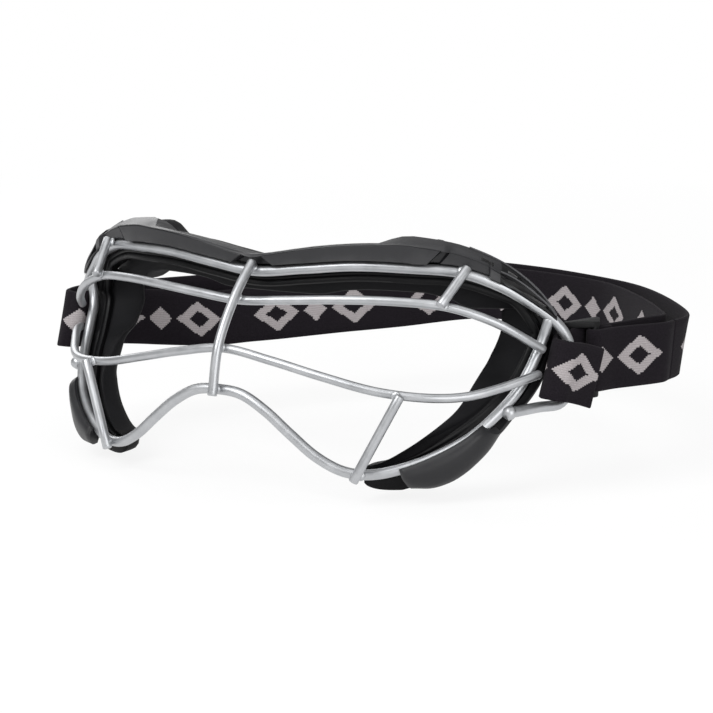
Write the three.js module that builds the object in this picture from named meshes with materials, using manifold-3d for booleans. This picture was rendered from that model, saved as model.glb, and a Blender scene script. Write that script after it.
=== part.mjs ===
// Lacrosse goggles: a welded wire cage with a moulded brow cap, two cheek caps, a rubber pad carrier,
// three face pads and a doubled elastic strap with a slider. Millimetres, +Z up, +X to the wearer's left,
// the face on the +Y side. The origin lies on the brow pad where it meets the forehead, in the middle
// plane and at the height of the brow wire.
import * as THREE from 'three';
import { mergeVertices } from 'three/addons/utils/BufferGeometryUtils.js';
import Module from 'manifold-3d';

// Cage: overall sizes that every wire follows.
const loopHalfWidth = 89; // middle plane to the wire of the strap loop
const cageDepth = 54.4; // nose arch to the strap loop, along Y
const cageDrop = 57.5; // brow wire to the lowest point of the perimeter wire
const browDepth = 20; // brow wire to the forehead face of the brow pad
const wireRadius = 1.6; // brow wire and perimeter wire
const railRadius = 1.35; // upper and lower rail
const postRadius = 1.45; // centre post and short posts
const weldGap = 0.3; // between pieces that are welded or lie together
const loopBallRadius = 2.1; // upset end of the brow wire at its weld

// Posts: where they cross, as shares of the loop half width, and how far their ends run past.
const upperPostShare = 0.709;
const upperPostFootShare = 0.681;
const lowerPostShare = 0.6135;
const lowerPostFootShare = 0.4865;
const perimeterSeatShare = 0.944; // where the perimeter wire's end meets the brow wire
const postOverhang = 1.9;
const upperPostTopOverhang = 0.3;
const lowerPostTopOverhang = 0.6;
const centrePostTopOverhang = 0.9;
const centrePostOverhang = 2.2;
const upperPostHalfSpan = upperPostShare * loopHalfWidth;
const upperPostFootHalfSpan = upperPostFootShare * loopHalfWidth;
const lowerPostHalfSpan = lowerPostShare * loopHalfWidth;
const lowerPostFootHalfSpan = lowerPostFootShare * loopHalfWidth;
const perimeterSeatHalfSpan = perimeterSeatShare * loopHalfWidth;

// Moulded caps.
const capLip = 2.75; // brow wire centre to the front face of the cap
const capHeight = 7.2; // top edge over the brow wire on the flat stretch
const capDepth = 8.6; // brow wire centre to the back of the cap
const capSole = 0.7; // lower edge of the front face over the brow wire's centre
const capSpanShare = 0.962; // of the loop half width
const capHalfSpan = capSpanShare * loopHalfWidth;
const centreNotchHalfWidth = 4.6;
const postNotchHalfWidth = 7.5;
const notchRun = 1.6; // length of a notch's slanted side
const wingSlotHeight = 1.5;
const wingSlotInset = 2.6;
const wingSlotSetback = 3.5; // from the upper post to the slots' wide end
const wingSlotTail = 4.6; // from the slots' narrow end to the cap's tip
const wingSlotStart = upperPostHalfSpan + wingSlotSetback;
const wingSlotEnd = capHalfSpan - wingSlotTail;
const wingRibHeight = 1;
const cheekCapDrop = 7; // how far a cheek cap hangs below the perimeter wire
const cheekCapFront = 3.5; // perimeter wire centre to the front of a cheek cap
const cheekCapBack = 2.2; // perimeter wire centre to the back of a cheek cap, less the slant of the wire
const cheekCapStartShare = 0.621; // inner end of a cheek cap, of the loop half width
const cheekCapRun = 17.2; // its length along X

// Pad carrier and pads.
const carrierInner = 5; // wire centre to the carrier's inner edge
const carrierOuter = 1; // wire centre to the carrier's outer edge
const carrierFootTaper = 0.5; // share of the carrier's inner edge that is left at its two ends
const browCarrierStandOut = 0.1; // how far the carrier reaches behind the cap
const browCarrierDepth = capDepth - wireRadius - weldGap + browCarrierStandOut;
const sideCarrierDepth = 2.2;
const carrierRibHeight = 0.6;
const carrierFootShare = 0.4607; // half distance between the carrier's two ends, of the loop half width
const carrierFoot = carrierFootShare * loopHalfWidth;
const browPadHang = 9.6; // brow wire centre to the lower edge of the brow pad
const browPadRise = 4.4; // brow wire centre to the top edge of the brow pad
const browPadPeak = 2.8; // extra height of the pad's two peaks over the brows
const browPadPeakShare = 0.55; // place of a peak, of the loop half width
const browPadPeakHalfSpan = browPadPeakShare * loopHalfWidth;
const browPadPeakWidth = 6.6;
const browPadSpanShare = 0.854; // of the loop half width
const browPadHalfSpan = browPadSpanShare * loopHalfWidth;
const browPadSole = 10.2; // level where the brow pad ends at the temples
const sidePadReach = 17.6; // perimeter wire to the pad's inner edge at the temple
const sidePadOuter = 6.5; // how far the pad stands below the wire at the cheek
const sidePadDepth = 9.2;
const sidePadBead = 1.6; // how far the pad's front swells past its seat on the carrier

// Strap: one length of elastic webbing, laid double.
const strapWidth = 19;
const strapThickness = 1.5;
const strapReach = 126.5; // strap loop to the back of the strap, along Y
const strapLevel = -28.4; // middle of the webbing below the brow wire, at the loops
const strapSag = 2.4; // drop of the webbing's middle behind the head
const layerSpacing = 8; // between the two layers
const wrapHalfWidth = 4; // loop wire to a leg of the webbing's wrap
const wrapFront = 11.2; // loop wire to the front of the wrap, at the webbing's middle
const wrapBack = 5; // length of the wrap's legs behind the loop wire
const flapLength = 7;
const flapSplay = 4;
const flapRootFall = 0.3; // share of the flap's drop that is reached at its root
const flapDrop = 3.6; // how far the flap's end hangs below the webbing's level
const innerSpread = 6; // extra distance between the layers on the wearer's right
const innerSag = 4.5; // drop of the inner layer towards the wearer's right
const webbingJointGap = 0.3;

// Slider on the inner layer, at the wearer's left.
const sliderBar = 1.6; // thickness of a bar
const sliderBarWidth = 2.2;
const sliderPitch = 6.2; // centre bar to an outer bar
const sliderCheek = 1.7; // height of the top and bottom cheek
const sliderClearance = 0.3;
const sliderSetback = 11.5; // loop wire to the centre bar
const endFoldLength = 8;

// Faceting.
const wireSides = 10;
const railSides = 8;
const wireSteps = 88;
const railSteps = 46;
const postSteps = 14;
const bandSteps = 44;
const wrapSteps = 16;

// Shares of the loop half width, cage depth and cage drop, for the right half of each wire,
// from the middle plane outwards. Depth counts back from the brow wire and drop counts down as minus.
const browShares = [
  [0, 0, -0.047], [0.18, 0.015, -0.026], [0.36, 0.067, -0.003], [0.539, 0.16, -0.002],
  [0.697, 0.276, -0.016], [0.817, 0.385, -0.088], [0.896, 0.482, -0.179], [0.958, 0.56, -0.269],
  [0.991, 0.603, -0.359], [1, 0.625, -0.487], [0.999, 0.618, -0.616], [0.984, 0.555, -0.69],
  [0.938, 0.432, -0.71], [0.888, 0.25, -0.722],
];
const perimeterShares = [
  [0, -0.375, -0.617], [0.09, -0.379, -0.63], [0.18, -0.373, -0.703], [0.27, -0.357, -0.812],
  [0.36, -0.324, -0.923], [0.449, -0.276, -0.991], [0.539, -0.21, -1], [0.652, -0.088, -0.95],
  [0.742, 0.029, -0.877], [0.798, 0.121, -0.81], [0.846, 0.232, -0.717], [0.88, 0.338, -0.624],
  [0.901, 0.434, -0.515], [0.919, 0.52, -0.382],
];
const upperRailShares = [
  [0, -0.158, -0.181], [0.18, -0.142, -0.162], [0.36, -0.096, -0.144], [0.539, 0.005, -0.144],
  [0.697, 0.124, -0.169], [0.8335, 0.25, -0.25], [0.9145, 0.371, -0.346], [0.946, 0.462, -0.404],
];
const lowerRailShares = [
  [0, -0.327, -0.41], [0.18, -0.3125, -0.452], [0.36, -0.27, -0.515], [0.539, -0.195, -0.577],
  [0.697, -0.085, -0.603], [0.792, 0.048, -0.602], [0.872, 0.221, -0.57], [0.928, 0.365, -0.534],
  [0.94, 0.43, -0.526],
];

// The cap's outline: share of its half span, then top edge and ridge as shares of its height, how far the
// facet between them leans back as a share of its lip, and share of its depth.
const capShares = [
  [0, 0.78, 0.62, 0.25, 1], [0.1, 0.87, 0.74, 0.25, 1], [0.24, 0.98, 0.87, 0.3, 1],
  [0.35, 1.01, 0.93, 0.4, 1], [0.415, 1.04, 0.97, 0.9, 1], [0.45, 1.19, 0.99, 1.9, 1],
  [0.5, 1.27, 0.99, 2.7, 0.99], [0.55, 1.28, 0.97, 2.9, 0.97], [0.6, 1.24, 0.93, 2.6, 0.94],
  [0.66, 1.17, 0.85, 2, 0.88], [0.72, 1.07, 0.76, 1.8, 0.82], [0.78, 1.03, 0.66, 1.6, 0.74],
  [0.84, 1, 0.56, 1.4, 0.64], [0.89, 0.95, 0.45, 1.1, 0.54], [0.93, 0.84, 0.36, 0.8, 0.44],
  [0.97, 0.6, 0.28, 0.5, 0.34], [1, 0.3, 0.2, 0.2, 0.26],
];

// The strap's outer layer seen from above: shares of the loop half width and of the strap's reach.
const outerLayerShares = [
  [1.213, 0.284], [1.216, 0.35], [1.17, 0.425], [0.944, 0.642], [0.708, 0.818], [0.449, 0.92],
  [0.208, 0.98], [0, 1], [-0.17, 0.945], [-0.4, 0.74], [-0.7, 0.43], [-0.93, 0.17],
];
// Drop of the inner layer's middle along it, as a share of its sag.
const innerDropShares = [
  [0, 0], [0.3, 0.02], [0.5, 0.09], [0.58, 0.3], [0.67, 0.55], [0.75, 0.69], [0.83, 0.91], [0.92, 1],
];
// Lean of the webbing, back and outwards, along the wrap from the inner leg to the outer one, and along
// the slider's strap end and the outer layer.
const wrapLeanShares = [[0, 0, 0], [0.25, 0.2, 0.02], [0.5, 0.56, 0], [0.75, 0.52, 0], [1, 0.5, 0]];
const outerLeanShares = [[0, 0, 0.08], [0.06, 0, 0.18], [0.16, 0, 0.1], [0.3, 0, 0], [1, 0, 0]];
const endLeanShares = [[0, 0, 0], [0.6, 0, 0], [1, 0, 0.08]];
const innerLeanShares = [[0, 0, 0], [0.5, 0, 0], [0.78, 0, 0.33], [0.88, 0, 0.33], [0.96, 0, 0]];

// A side pad from the temple to the cheek: depth, reach and outer edge as shares of their sizes.
const sideDepthShares = [[0, 0.33], [0.2, 0.34], [0.32, 0.39], [0.42, 0.56], [0.52, 0.8], [0.64, 0.96], [1, 1]];
const sideReachShares = [
  [0, 0.97], [0.12, 1], [0.28, 0.93], [0.4, 0.74], [0.5, 0.63], [0.6, 0.56], [0.74, 0.48], [0.88, 0.36],
  [1, 0.26],
];
const sideOuterShares = [
  [0, -0.3], [0.3, -0.05], [0.46, 0.3], [0.6, 0.62], [0.74, 0.92], [0.88, 1], [1, 0.7],
];

// Materials.
const silver = { color: 0xb9bcc0, roughness: 0.34, metalness: 0.85 };
const shell = { color: 0x2f3033, roughness: 0.45, metalness: 0 };
const rubber = { color: 0x191a1c, roughness: 0.7, metalness: 0 };
const foam = { color: 0x202124, roughness: 0.85, metalness: 0 };
const webbing = { color: 0x241f25, roughness: 0.95, metalness: 0 };
const acetal = { color: 0x1a1a1b, roughness: 0.4, metalness: 0 };

const wasm = await Module();
wasm.setup();

const goggles = new THREE.Group();
goggles.position.y = -browDepth;

function addPart(name, geometry, finish) {
  const mesh = new THREE.Mesh(geometry, new THREE.MeshStandardMaterial(finish));
  mesh.name = name;
  goggles.add(mesh);
  return mesh;
}

// A closed geometry as a solid for cutting and joining, and back.
function toSolid(geometry) {
  const bare = geometry.clone();
  bare.deleteAttribute('normal');
  bare.deleteAttribute('uv');
  const merged = mergeVertices(bare);
  return new wasm.Manifold(new wasm.Mesh({
    numProp: 3,
    vertProperties: new Float32Array(merged.attributes.position.array),
    triVerts: new Uint32Array(merged.index.array),
  }));
}

function toGeometry(solid) {
  const mesh = solid.getMesh();
  const geometry = new THREE.BufferGeometry();
  geometry.setAttribute('position', new THREE.BufferAttribute(mesh.vertProperties, 3));
  geometry.setIndex(new THREE.BufferAttribute(mesh.triVerts, 1));
  geometry.computeVertexNormals();
  return geometry;
}

// Reading a table of [place, value, ...] rows by straight lines between them.
function readTable(rows, place, column = 1) {
  const next = rows.findIndex((row) => row[0] >= place);
  if (next <= 0) {
    return rows[next < 0 ? rows.length - 1 : 0][column];
  }
  const [a, b] = [rows[next - 1], rows[next]];
  return THREE.MathUtils.mapLinear(place, a[0], b[0], a[column], b[column]);
}

function cagePoint([across, back, up]) {
  return new THREE.Vector3(across * loopHalfWidth, back * cageDepth, up * cageDrop);
}

function mirrorX(point) {
  return new THREE.Vector3(-point.x, point.y, point.z);
}

// A smooth curve over both halves, from the points of the right half.
function wholeCurve(rightHalf) {
  const left = rightHalf.slice(1).reverse().map(mirrorX);
  return new THREE.CatmullRomCurve3([...left, ...rightHalf], false, 'centripetal');
}

// The place along the right half of a curve where it first reaches a distance from the middle plane.
function placeAtX(curve, x) {
  const samples = 400;
  let before = 0;
  for (let k = 0; k <= samples; k += 1) {
    const t = THREE.MathUtils.lerp(0.5, 1, k / samples);
    const here = curve.getPoint(t).x;
    if (here >= x) {
      const step = 0.5 / samples;
      return k === 0 ? t : THREE.MathUtils.mapLinear(x, before, here, t - step, t);
    }
    before = here;
  }
  return 1;
}

function rod(curve, radius, steps, sides) {
  const ring = [];
  for (let k = 0; k < sides; k += 1) {
    const angle = (2 * Math.PI * k) / sides;
    ring.push(new THREE.Vector2(radius * Math.cos(angle), radius * Math.sin(angle)));
  }
  return new THREE.ExtrudeGeometry(new THREE.Shape(ring), { steps, bevelEnabled: false, extrudePath: curve });
}

// A closed body through rings of 3D points; the flat outline closes both ends.
function loft(rings, outline) {
  const count = outline.length;
  const positions = rings.flat().flatMap((point) => point.toArray());
  const index = [];
  for (let k = 0; k + 1 < rings.length; k += 1) {
    for (let j = 0; j < count; j += 1) {
      const a = k * count + j;
      const b = k * count + ((j + 1) % count);
      index.push(a, b, a + count, b, b + count, a + count);
    }
  }
  const last = (rings.length - 1) * count;
  const clockwise = THREE.ShapeUtils.isClockWise(outline);
  for (const [a, b, c] of THREE.ShapeUtils.triangulateShape(outline, [])) {
    const [second, third] = clockwise ? [c, b] : [b, c];
    index.push(a, third, second);
    index.push(last + a, last + second, last + third);
  }
  const geometry = new THREE.BufferGeometry();
  geometry.setAttribute('position', new THREE.Float32BufferAttribute(positions, 3));
  geometry.setIndex(signedVolume(positions, index) < 0 ? flipped(index) : index);
  geometry.computeVertexNormals();
  return geometry;
}

function signedVolume(positions, index) {
  let sum = 0;
  const corner = (k) => new THREE.Vector3().fromArray(positions, 3 * index[k]);
  for (let k = 0; k < index.length; k += 3) {
    sum += corner(k).dot(corner(k + 1).cross(corner(k + 2)));
  }
  return sum;
}

function flipped(index) {
  const turned = [...index];
  for (let k = 0; k < turned.length; k += 3) {
    [turned[k + 1], turned[k + 2]] = [turned[k + 2], turned[k + 1]];
  }
  return turned;
}

function mirroredGeometry(geometry) {
  const copy = mergeVertices(geometry.clone());
  copy.scale(-1, 1, 1);
  copy.setIndex(flipped(copy.index.array));
  copy.computeVertexNormals();
  return copy;
}

// Cage wires.
const browCurve = wholeCurve(browShares.map(cagePoint));
const seatPlace = placeAtX(browCurve, perimeterSeatHalfSpan);
const seatPoint = browCurve.getPoint(seatPlace);
const perimeterHalf = perimeterShares.map(cagePoint);
perimeterHalf.push(seatPoint.clone());
const perimeterCurve = wholeCurve(perimeterHalf);
const upperRailCurve = wholeCurve(upperRailShares.map(cagePoint));
const lowerRailCurve = wholeCurve(lowerRailShares.map(cagePoint));

// A wire and its weld gap, as a cutter that leaves a groove.
const browGroove = toSolid(rod(browCurve, wireRadius + weldGap, wireSteps, wireSides));
const perimeterGroove = toSolid(rod(perimeterCurve, wireRadius + weldGap, wireSteps, wireSides));

function browWireSolid() {
  const wire = toSolid(rod(browCurve, wireRadius, wireSteps, wireSides));
  const ball = new THREE.SphereGeometry(loopBallRadius, wireSides, wireSides / 2);
  const end = browCurve.getPoint(1);
  const leftBall = toSolid(ball.clone().translate(end.x, end.y, end.z)).subtract(perimeterGroove);
  const rightBall = toSolid(ball.clone().translate(-end.x, end.y, end.z)).subtract(perimeterGroove);
  return toGeometry(wire.add(rightBall).add(leftBall));
}

// A point in front of a wire, clear of it by the weld gap, for a post that runs in a direction.
function inFront(curve, place, radius, direction) {
  const tangent = curve.getTangent(place);
  const outward = direction.clone().cross(tangent).normalize();
  if (outward.y > 0) {
    outward.negate();
  }
  return curve.getPoint(place).addScaledVector(outward, radius + postRadius + weldGap);
}

function shortPost(top, bottom, topOverhang) {
  const direction = top.curve.getPoint(top.place).sub(bottom.curve.getPoint(bottom.place)).normalize();
  const head = inFront(top.curve, top.place, top.radius, direction);
  const foot = inFront(bottom.curve, bottom.place, bottom.radius, direction);
  const along = head.clone().sub(foot).normalize();
  head.addScaledVector(along, topOverhang);
  foot.addScaledVector(along, -postOverhang);
  return rod(new THREE.LineCurve3(foot, head), postRadius, 1, wireSides);
}

// The centre post runs down in front of four wires, so its line is their polygon moved forward.
function centrePostCurve() {
  const wires = [
    [browCurve, wireRadius], [upperRailCurve, railRadius],
    [lowerRailCurve, railRadius], [perimeterCurve, wireRadius],
  ];
  const centres = wires.map(([curve]) => curve.getPoint(0.5));
  const line = centres.map((centre, k) => {
    const before = centres[Math.max(k - 1, 0)];
    const after = centres[Math.min(k + 1, centres.length - 1)];
    const run = after.clone().sub(before).normalize();
    const forward = new THREE.Vector3(0, run.z, -run.y);
    return centre.clone().addScaledVector(forward, wires[k][1] + postRadius + weldGap);
  });
  const top = line[0].clone().sub(line[1]).normalize();
  const tail = line[3].clone().sub(line[2]).normalize();
  line.unshift(line[0].clone().addScaledVector(top, centrePostTopOverhang));
  line.push(line[4].clone().addScaledVector(tail, centrePostOverhang));
  return new THREE.CatmullRomCurve3(line, false, 'centripetal');
}

function wireCage() {
  addPart('brow_wire', browWireSolid(), silver);
  const perimeter = toSolid(rod(perimeterCurve, wireRadius, wireSteps, wireSides));
  addPart('perimeter_wire', toGeometry(perimeter.subtract(browGroove)), silver);
  addPart('upper_rail', rod(upperRailCurve, railRadius, railSteps, railSides), silver);
  addPart('lower_rail', rod(lowerRailCurve, railRadius, railSteps, railSides), silver);
  addPart('centre_post', rod(centrePostCurve(), postRadius, postSteps, wireSides), silver);
  const upper = shortPost(
    { curve: browCurve, place: placeAtX(browCurve, upperPostHalfSpan), radius: wireRadius },
    { curve: upperRailCurve, place: placeAtX(upperRailCurve, upperPostFootHalfSpan), radius: railRadius },
    upperPostTopOverhang,
  );
  const lower = shortPost(
    { curve: lowerRailCurve, place: placeAtX(lowerRailCurve, lowerPostHalfSpan), radius: railRadius },
    { curve: perimeterCurve, place: placeAtX(perimeterCurve, lowerPostFootHalfSpan), radius: wireRadius },
    lowerPostTopOverhang,
  );
  addPart('upper_post_left', upper, silver);
  addPart('upper_post_right', mirroredGeometry(upper), silver);
  addPart('lower_post_left', lower, silver);
  addPart('lower_post_right', mirroredGeometry(lower), silver);
}

// A point of a section that stands on the brow wire: back is level and square to the wire.
function onBrow(x, back, up) {
  const place = placeAtX(browCurve, Math.abs(x));
  const centre = browCurve.getPoint(place);
  const tangent = browCurve.getTangent(place);
  const level = Math.hypot(tangent.x, tangent.y);
  const side = Math.sign(x);
  return new THREE.Vector3(
    side * (centre.x - (back * tangent.y) / level),
    centre.y + (back * tangent.x) / level,
    centre.z + up,
  );
}

// How far a notch round a post has opened at a distance from its middle, from 0 to 1.
function notchOpening(distance, halfWidth) {
  return THREE.MathUtils.clamp((halfWidth + notchRun - Math.abs(distance)) / notchRun, 0, 1);
}

function browCapSection(x) {
  const share = Math.abs(x) / capHalfSpan;
  const height = capHeight * readTable(capShares, share, 1);
  const ridge = capHeight * readTable(capShares, share, 2);
  const lean = capLip * readTable(capShares, share, 3);
  const depth = capDepth * readTable(capShares, share, 4);
  const centreNotch = notchOpening(x, centreNotchHalfWidth);
  const postNotch = notchOpening(Math.abs(x) - upperPostHalfSpan, postNotchHalfWidth);
  const taper = Math.min(1, height / capHeight);
  const lip = -capLip * taper;
  const front = lip + Math.max(centreNotch, postNotch) * (capLip + weldGap) * taper;
  const chin = taper * THREE.MathUtils.lerp(capSole, wireRadius + weldGap, Math.max(centreNotch, postNotch));
  const brow = lip + postNotch * (capLip + weldGap) * taper;
  const edge = 0.1 * height;
  return [
    [front, chin], [front, 0.5 * (chin + ridge)], [brow, ridge],
    [Math.min(brow + lean, depth - 2 * edge), height],
    [depth - edge, height - edge], [depth, height - 2 * edge], [depth, chin + edge], [depth - edge, chin],
  ];
}

function browCap() {
  const stations = [];
  const fine = [
    centreNotchHalfWidth, centreNotchHalfWidth + notchRun,
    upperPostHalfSpan - postNotchHalfWidth - notchRun, upperPostHalfSpan - postNotchHalfWidth,
    upperPostHalfSpan + postNotchHalfWidth, upperPostHalfSpan + postNotchHalfWidth + notchRun,
  ];
  const half = [...capShares.map(([share]) => share * capHalfSpan), ...fine].sort((a, b) => a - b);
  for (const x of half.slice(1).reverse()) {
    stations.push(-x);
  }
  stations.push(...half.slice(1));
  const rings = stations.map((x) => browCapSection(x).map(([back, up]) => onBrow(x, back, up)));
  const outline = browCapSection(stations[0]).map(([back, up]) => new THREE.Vector2(back, up));
  let cap = toSolid(loft(rings, outline)).subtract(browGroove).subtract(carrierBody(weldGap));
  for (const side of [-1, 1]) {
    cap = cap.subtract(wingSlot(side, wingSlotInset, wingSlotHeight));
    cap = cap.subtract(wingSlot(side, wingSlotInset + wingSlotHeight + wingRibHeight, 0.6 * wingSlotHeight));
  }
  return toGeometry(cap);
}

// A slot through the cap's wing that narrows to its outer end.
function wingSlot(side, inset, height) {
  const count = 6;
  const rings = [];
  for (let k = 0; k <= count; k += 1) {
    const x = THREE.MathUtils.lerp(wingSlotStart, wingSlotEnd, k / count);
    const room = capHeight * readTable(capShares, x / capHalfSpan, 1) / capHeight;
    const low = inset * room;
    const high = low + height * room * (1 - 0.6 * (k / count));
    rings.push([
      onBrow(side * x, -2 * capLip, low), onBrow(side * x, 2 * capDepth, low),
      onBrow(side * x, 2 * capDepth, high), onBrow(side * x, -2 * capLip, high),
    ]);
  }
  const outline = [[0, 0], [1, 0], [1, 1], [0, 1]].map(([u, v]) => new THREE.Vector2(u, v));
  return toSolid(loft(rings, outline));
}

// Frames along a wire for the carrier, pads and cheek caps: inward is square to the wire as seen from
// the front, and back is +Y.
function frameOn(curve, place) {
  const centre = curve.getPointAt(place);
  const tangent = curve.getTangentAt(place);
  const inward = new THREE.Vector3(tangent.z, 0, -tangent.x).normalize();
  const slant = 1 / Math.sqrt(1 - tangent.y * tangent.y);
  return { centre, inward, slant };
}

function onFrame(frame, inward, back) {
  const point = frame.centre.clone().addScaledVector(frame.inward, inward);
  point.y += back;
  return point;
}

// The path behind the wires: along the brow wire, round the temple and down the perimeter wire.
function ringHalf() {
  const along = [0, 0.18, 0.36, 0.54, 0.68, 0.79, 0.86].map((share) => {
    return browCurve.getPoint(placeAtX(browCurve, share * loopHalfWidth));
  });
  const count = perimeterHalf.length;
  const temple = perimeterHalf[count - 2].clone().lerp(seatPoint, 0.3);
  const down = perimeterHalf.slice(6, count - 1).reverse();
  const foot = perimeterCurve.getPoint(placeAtX(perimeterCurve, carrierFoot));
  return { along, temple, down, foot };
}

const ring = ringHalf();
const ringCurve = wholeCurve([...ring.along, ring.temple, ...ring.down, ring.foot]);

function carrierSection(frame, share, margin) {
  const front = (wireRadius + 1.5 * weldGap) * frame.slant - margin;
  const turn = THREE.MathUtils.smoothstep(share, 0.42, 0.56);
  const depth = THREE.MathUtils.lerp(browCarrierDepth, sideCarrierDepth, turn) + 2 * margin;
  const outer = THREE.MathUtils.lerp(capSole - 2 * weldGap, carrierOuter, turn) + margin;
  const narrow = THREE.MathUtils.smoothstep(share, 0.78, 1);
  const inner = carrierInner * THREE.MathUtils.lerp(1, carrierFootTaper, narrow) + margin;
  const rib = carrierRibHeight;
  return [
    [-outer, front], [0.3 * inner, front], [0.44 * inner, front + rib], [0.6 * inner, front + rib],
    [0.72 * inner, front], [inner - rib, front], [inner, front + rib],
    [inner, front + depth - rib], [inner - rib, front + depth], [-outer, front + depth],
  ];
}

// The carrier's body; a margin makes it larger all round, as a cutter.
function carrierBody(margin) {
  const rings = [];
  let outline = [];
  for (let k = 0; k <= wireSteps; k += 1) {
    const place = k / wireSteps;
    const frame = frameOn(ringCurve, place);
    const section = carrierSection(frame, Math.abs(2 * place - 1), margin);
    outline = section.map(([u, v]) => new THREE.Vector2(u, v));
    rings.push(section.map(([inward, back]) => onFrame(frame, inward, back)));
  }
  return toSolid(loft(rings, outline));
}

function padCarrier() {
  return toGeometry(carrierBody(0).subtract(browGroove).subtract(perimeterGroove));
}

// The brow pad stands behind the carrier and the cap, with a crowned face for the forehead.
function browPad() {
  const rings = [];
  let outline = [];
  const front = wireRadius + weldGap + browCarrierDepth + weldGap;
  const depth = browDepth - front;
  const count = 42;
  for (let k = 0; k <= count; k += 1) {
    const x = THREE.MathUtils.lerp(-browPadHalfSpan, browPadHalfSpan, k / count);
    const place = placeAtX(browCurve, Math.abs(x));
    const wire = browCurve.getPoint(place);
    const low = Math.max(-browPadHang, -browPadSole - wire.z);
    const peak = Math.exp(-(((Math.abs(x) - browPadPeakHalfSpan) / browPadPeakWidth) ** 2));
    const high = browPadRise + browPadPeak * peak;
    const end = 1 - Math.abs(x) / browPadHalfSpan;
    const plump = Math.min(1, 0.55 + 3 * end);
    const middle = 0.5 * (low + high);
    const half = 0.5 * (high - low);
    const section = [
      [-1, 0], [-1, 0.4], [-0.94, 0.72], [-0.72, 0.93], [-0.35, 1], [0.35, 1], [0.72, 0.93],
      [0.94, 0.72], [1, 0.4], [1, 0.1], [0.9, 0], [-0.9, 0],
    ].map(([up, back]) => [middle + half * up, front + depth * plump * back]);
    outline = section.map(([u, v]) => new THREE.Vector2(u, v));
    rings.push(section.map(([up, back]) => onBrow(x || 0.001, back, up)));
  }
  return loft(rings, outline);
}

// A side pad follows the perimeter wire from the temple to the cheek; its face slants to the head.
function sidePadCurve() {
  const top = ring.temple.clone();
  top.z = -browPadSole - weldGap;
  const upper = ring.temple.clone().lerp(ring.down[0], 0.5);
  return new THREE.CatmullRomCurve3([top, upper, ...ring.down, ring.foot], false, 'centripetal');
}

function sidePad() {
  const curve = sidePadCurve();
  const rings = [];
  let outline = [];
  const count = 34;
  for (let k = 0; k <= count; k += 1) {
    const place = k / count;
    const frame = frameOn(curve, place);
    const level = THREE.MathUtils.smoothstep(place, 0.02, 0.3);
    frame.inward.lerp(new THREE.Vector3(-1, 0, 0), 1 - level).normalize();
    const reach = sidePadReach * readTable(sideReachShares, place);
    const outer = sidePadOuter * readTable(sideOuterShares, place);
    const front = (wireRadius + 1.5 * weldGap) * frame.slant + sideCarrierDepth + weldGap;
    const depth = sidePadDepth * readTable(sideDepthShares, place);
    const lower = THREE.MathUtils.smoothstep(place, 0.22, 0.48);
    const lip = Math.min(carrierInner + 2 * weldGap, 0.9 * reach);
    const bead = THREE.MathUtils.lerp(-sidePadBead, sidePadBead, lower);
    const onLip = (part) => THREE.MathUtils.lerp(lip, reach, part);
    const square = (upper, below) => THREE.MathUtils.lerp(upper, below, lower);
    const section = [
      [-outer, front], [lip, front], [onLip(0.1), front - 0.3 * bead],
      [onLip(0.5), front - 0.8 * bead], [onLip(0.9), front - bead], [reach, front - 0.5 * bead],
      [square(1, 1.03) * reach, front + square(0.5, 0.25) * depth],
      [square(0.96, 1.02) * reach, front + square(0.82, 0.52) * depth],
      [square(0.8, 0.86) * reach, front + square(1.04, 0.8) * depth],
      [square(0.5, 0.52) * reach, front + square(1.08, 0.97) * depth],
      [0, front + depth], [-0.75 * outer, front + 0.92 * depth], [-outer, front + 0.5 * depth],
    ];
    outline = section.map(([u, v]) => new THREE.Vector2(u, v));
    rings.push(section.map(([inward, back]) => onFrame(frame, inward, back)));
  }
  return loft(rings, outline);
}

// A cheek cap is a shell clipped round the perimeter wire from the front and below.
function cheekCap() {
  const start = cheekCapStartShare * loopHalfWidth;
  const from = placeAtX(perimeterCurve, start);
  const to = placeAtX(perimeterCurve, start + cheekCapRun);
  const rings = [];
  let outline = [];
  const count = 16;
  for (let k = 0; k <= count; k += 1) {
    const t = THREE.MathUtils.lerp(from, to, k / count);
    const centre = perimeterCurve.getPoint(t);
    const tangent = perimeterCurve.getTangent(t);
    const inward = new THREE.Vector3(-tangent.z, 0, tangent.x).normalize();
    const frame = { centre, inward, slant: 1 / Math.sqrt(1 - tangent.y * tangent.y) };
    const swell = Math.sin(Math.PI * THREE.MathUtils.lerp(0.18, 0.82, k / count));
    const drop = cheekCapDrop * (0.62 + 0.38 * swell);
    const front = cheekCapFront * frame.slant;
    const back = cheekCapBack + (wireRadius + weldGap) * (frame.slant - 1);
    const section = [
      [0.1 * drop, -0.78 * front], [-0.05 * drop, -front], [-0.36 * drop, -1.08 * front],
      [-0.72 * drop, -0.8 * front], [-0.95 * drop, -0.3 * front], [-drop, 0.2 * front],
      [-drop, back], [-0.36 * drop, back], [-0.2 * drop, 0],
    ];
    outline = section.map(([u, v]) => new THREE.Vector2(u, v));
    rings.push(section.map(([inward, behind]) => onFrame(frame, inward, behind)));
  }
  return toGeometry(toSolid(loft(rings, outline)).subtract(perimeterGroove));
}

function capsAndPads() {
  addPart('brow_cap', browCap(), shell);
  const cheek = cheekCap();
  addPart('cheek_cap_left', cheek, shell);
  addPart('cheek_cap_right', mirroredGeometry(cheek), shell);
  addPart('pad_carrier', padCarrier(), rubber);
  addPart('brow_pad', browPad(), foam);
  const side = sidePad();
  addPart('side_pad_left', side, foam);
  addPart('side_pad_right', mirroredGeometry(side), foam);
}

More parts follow.
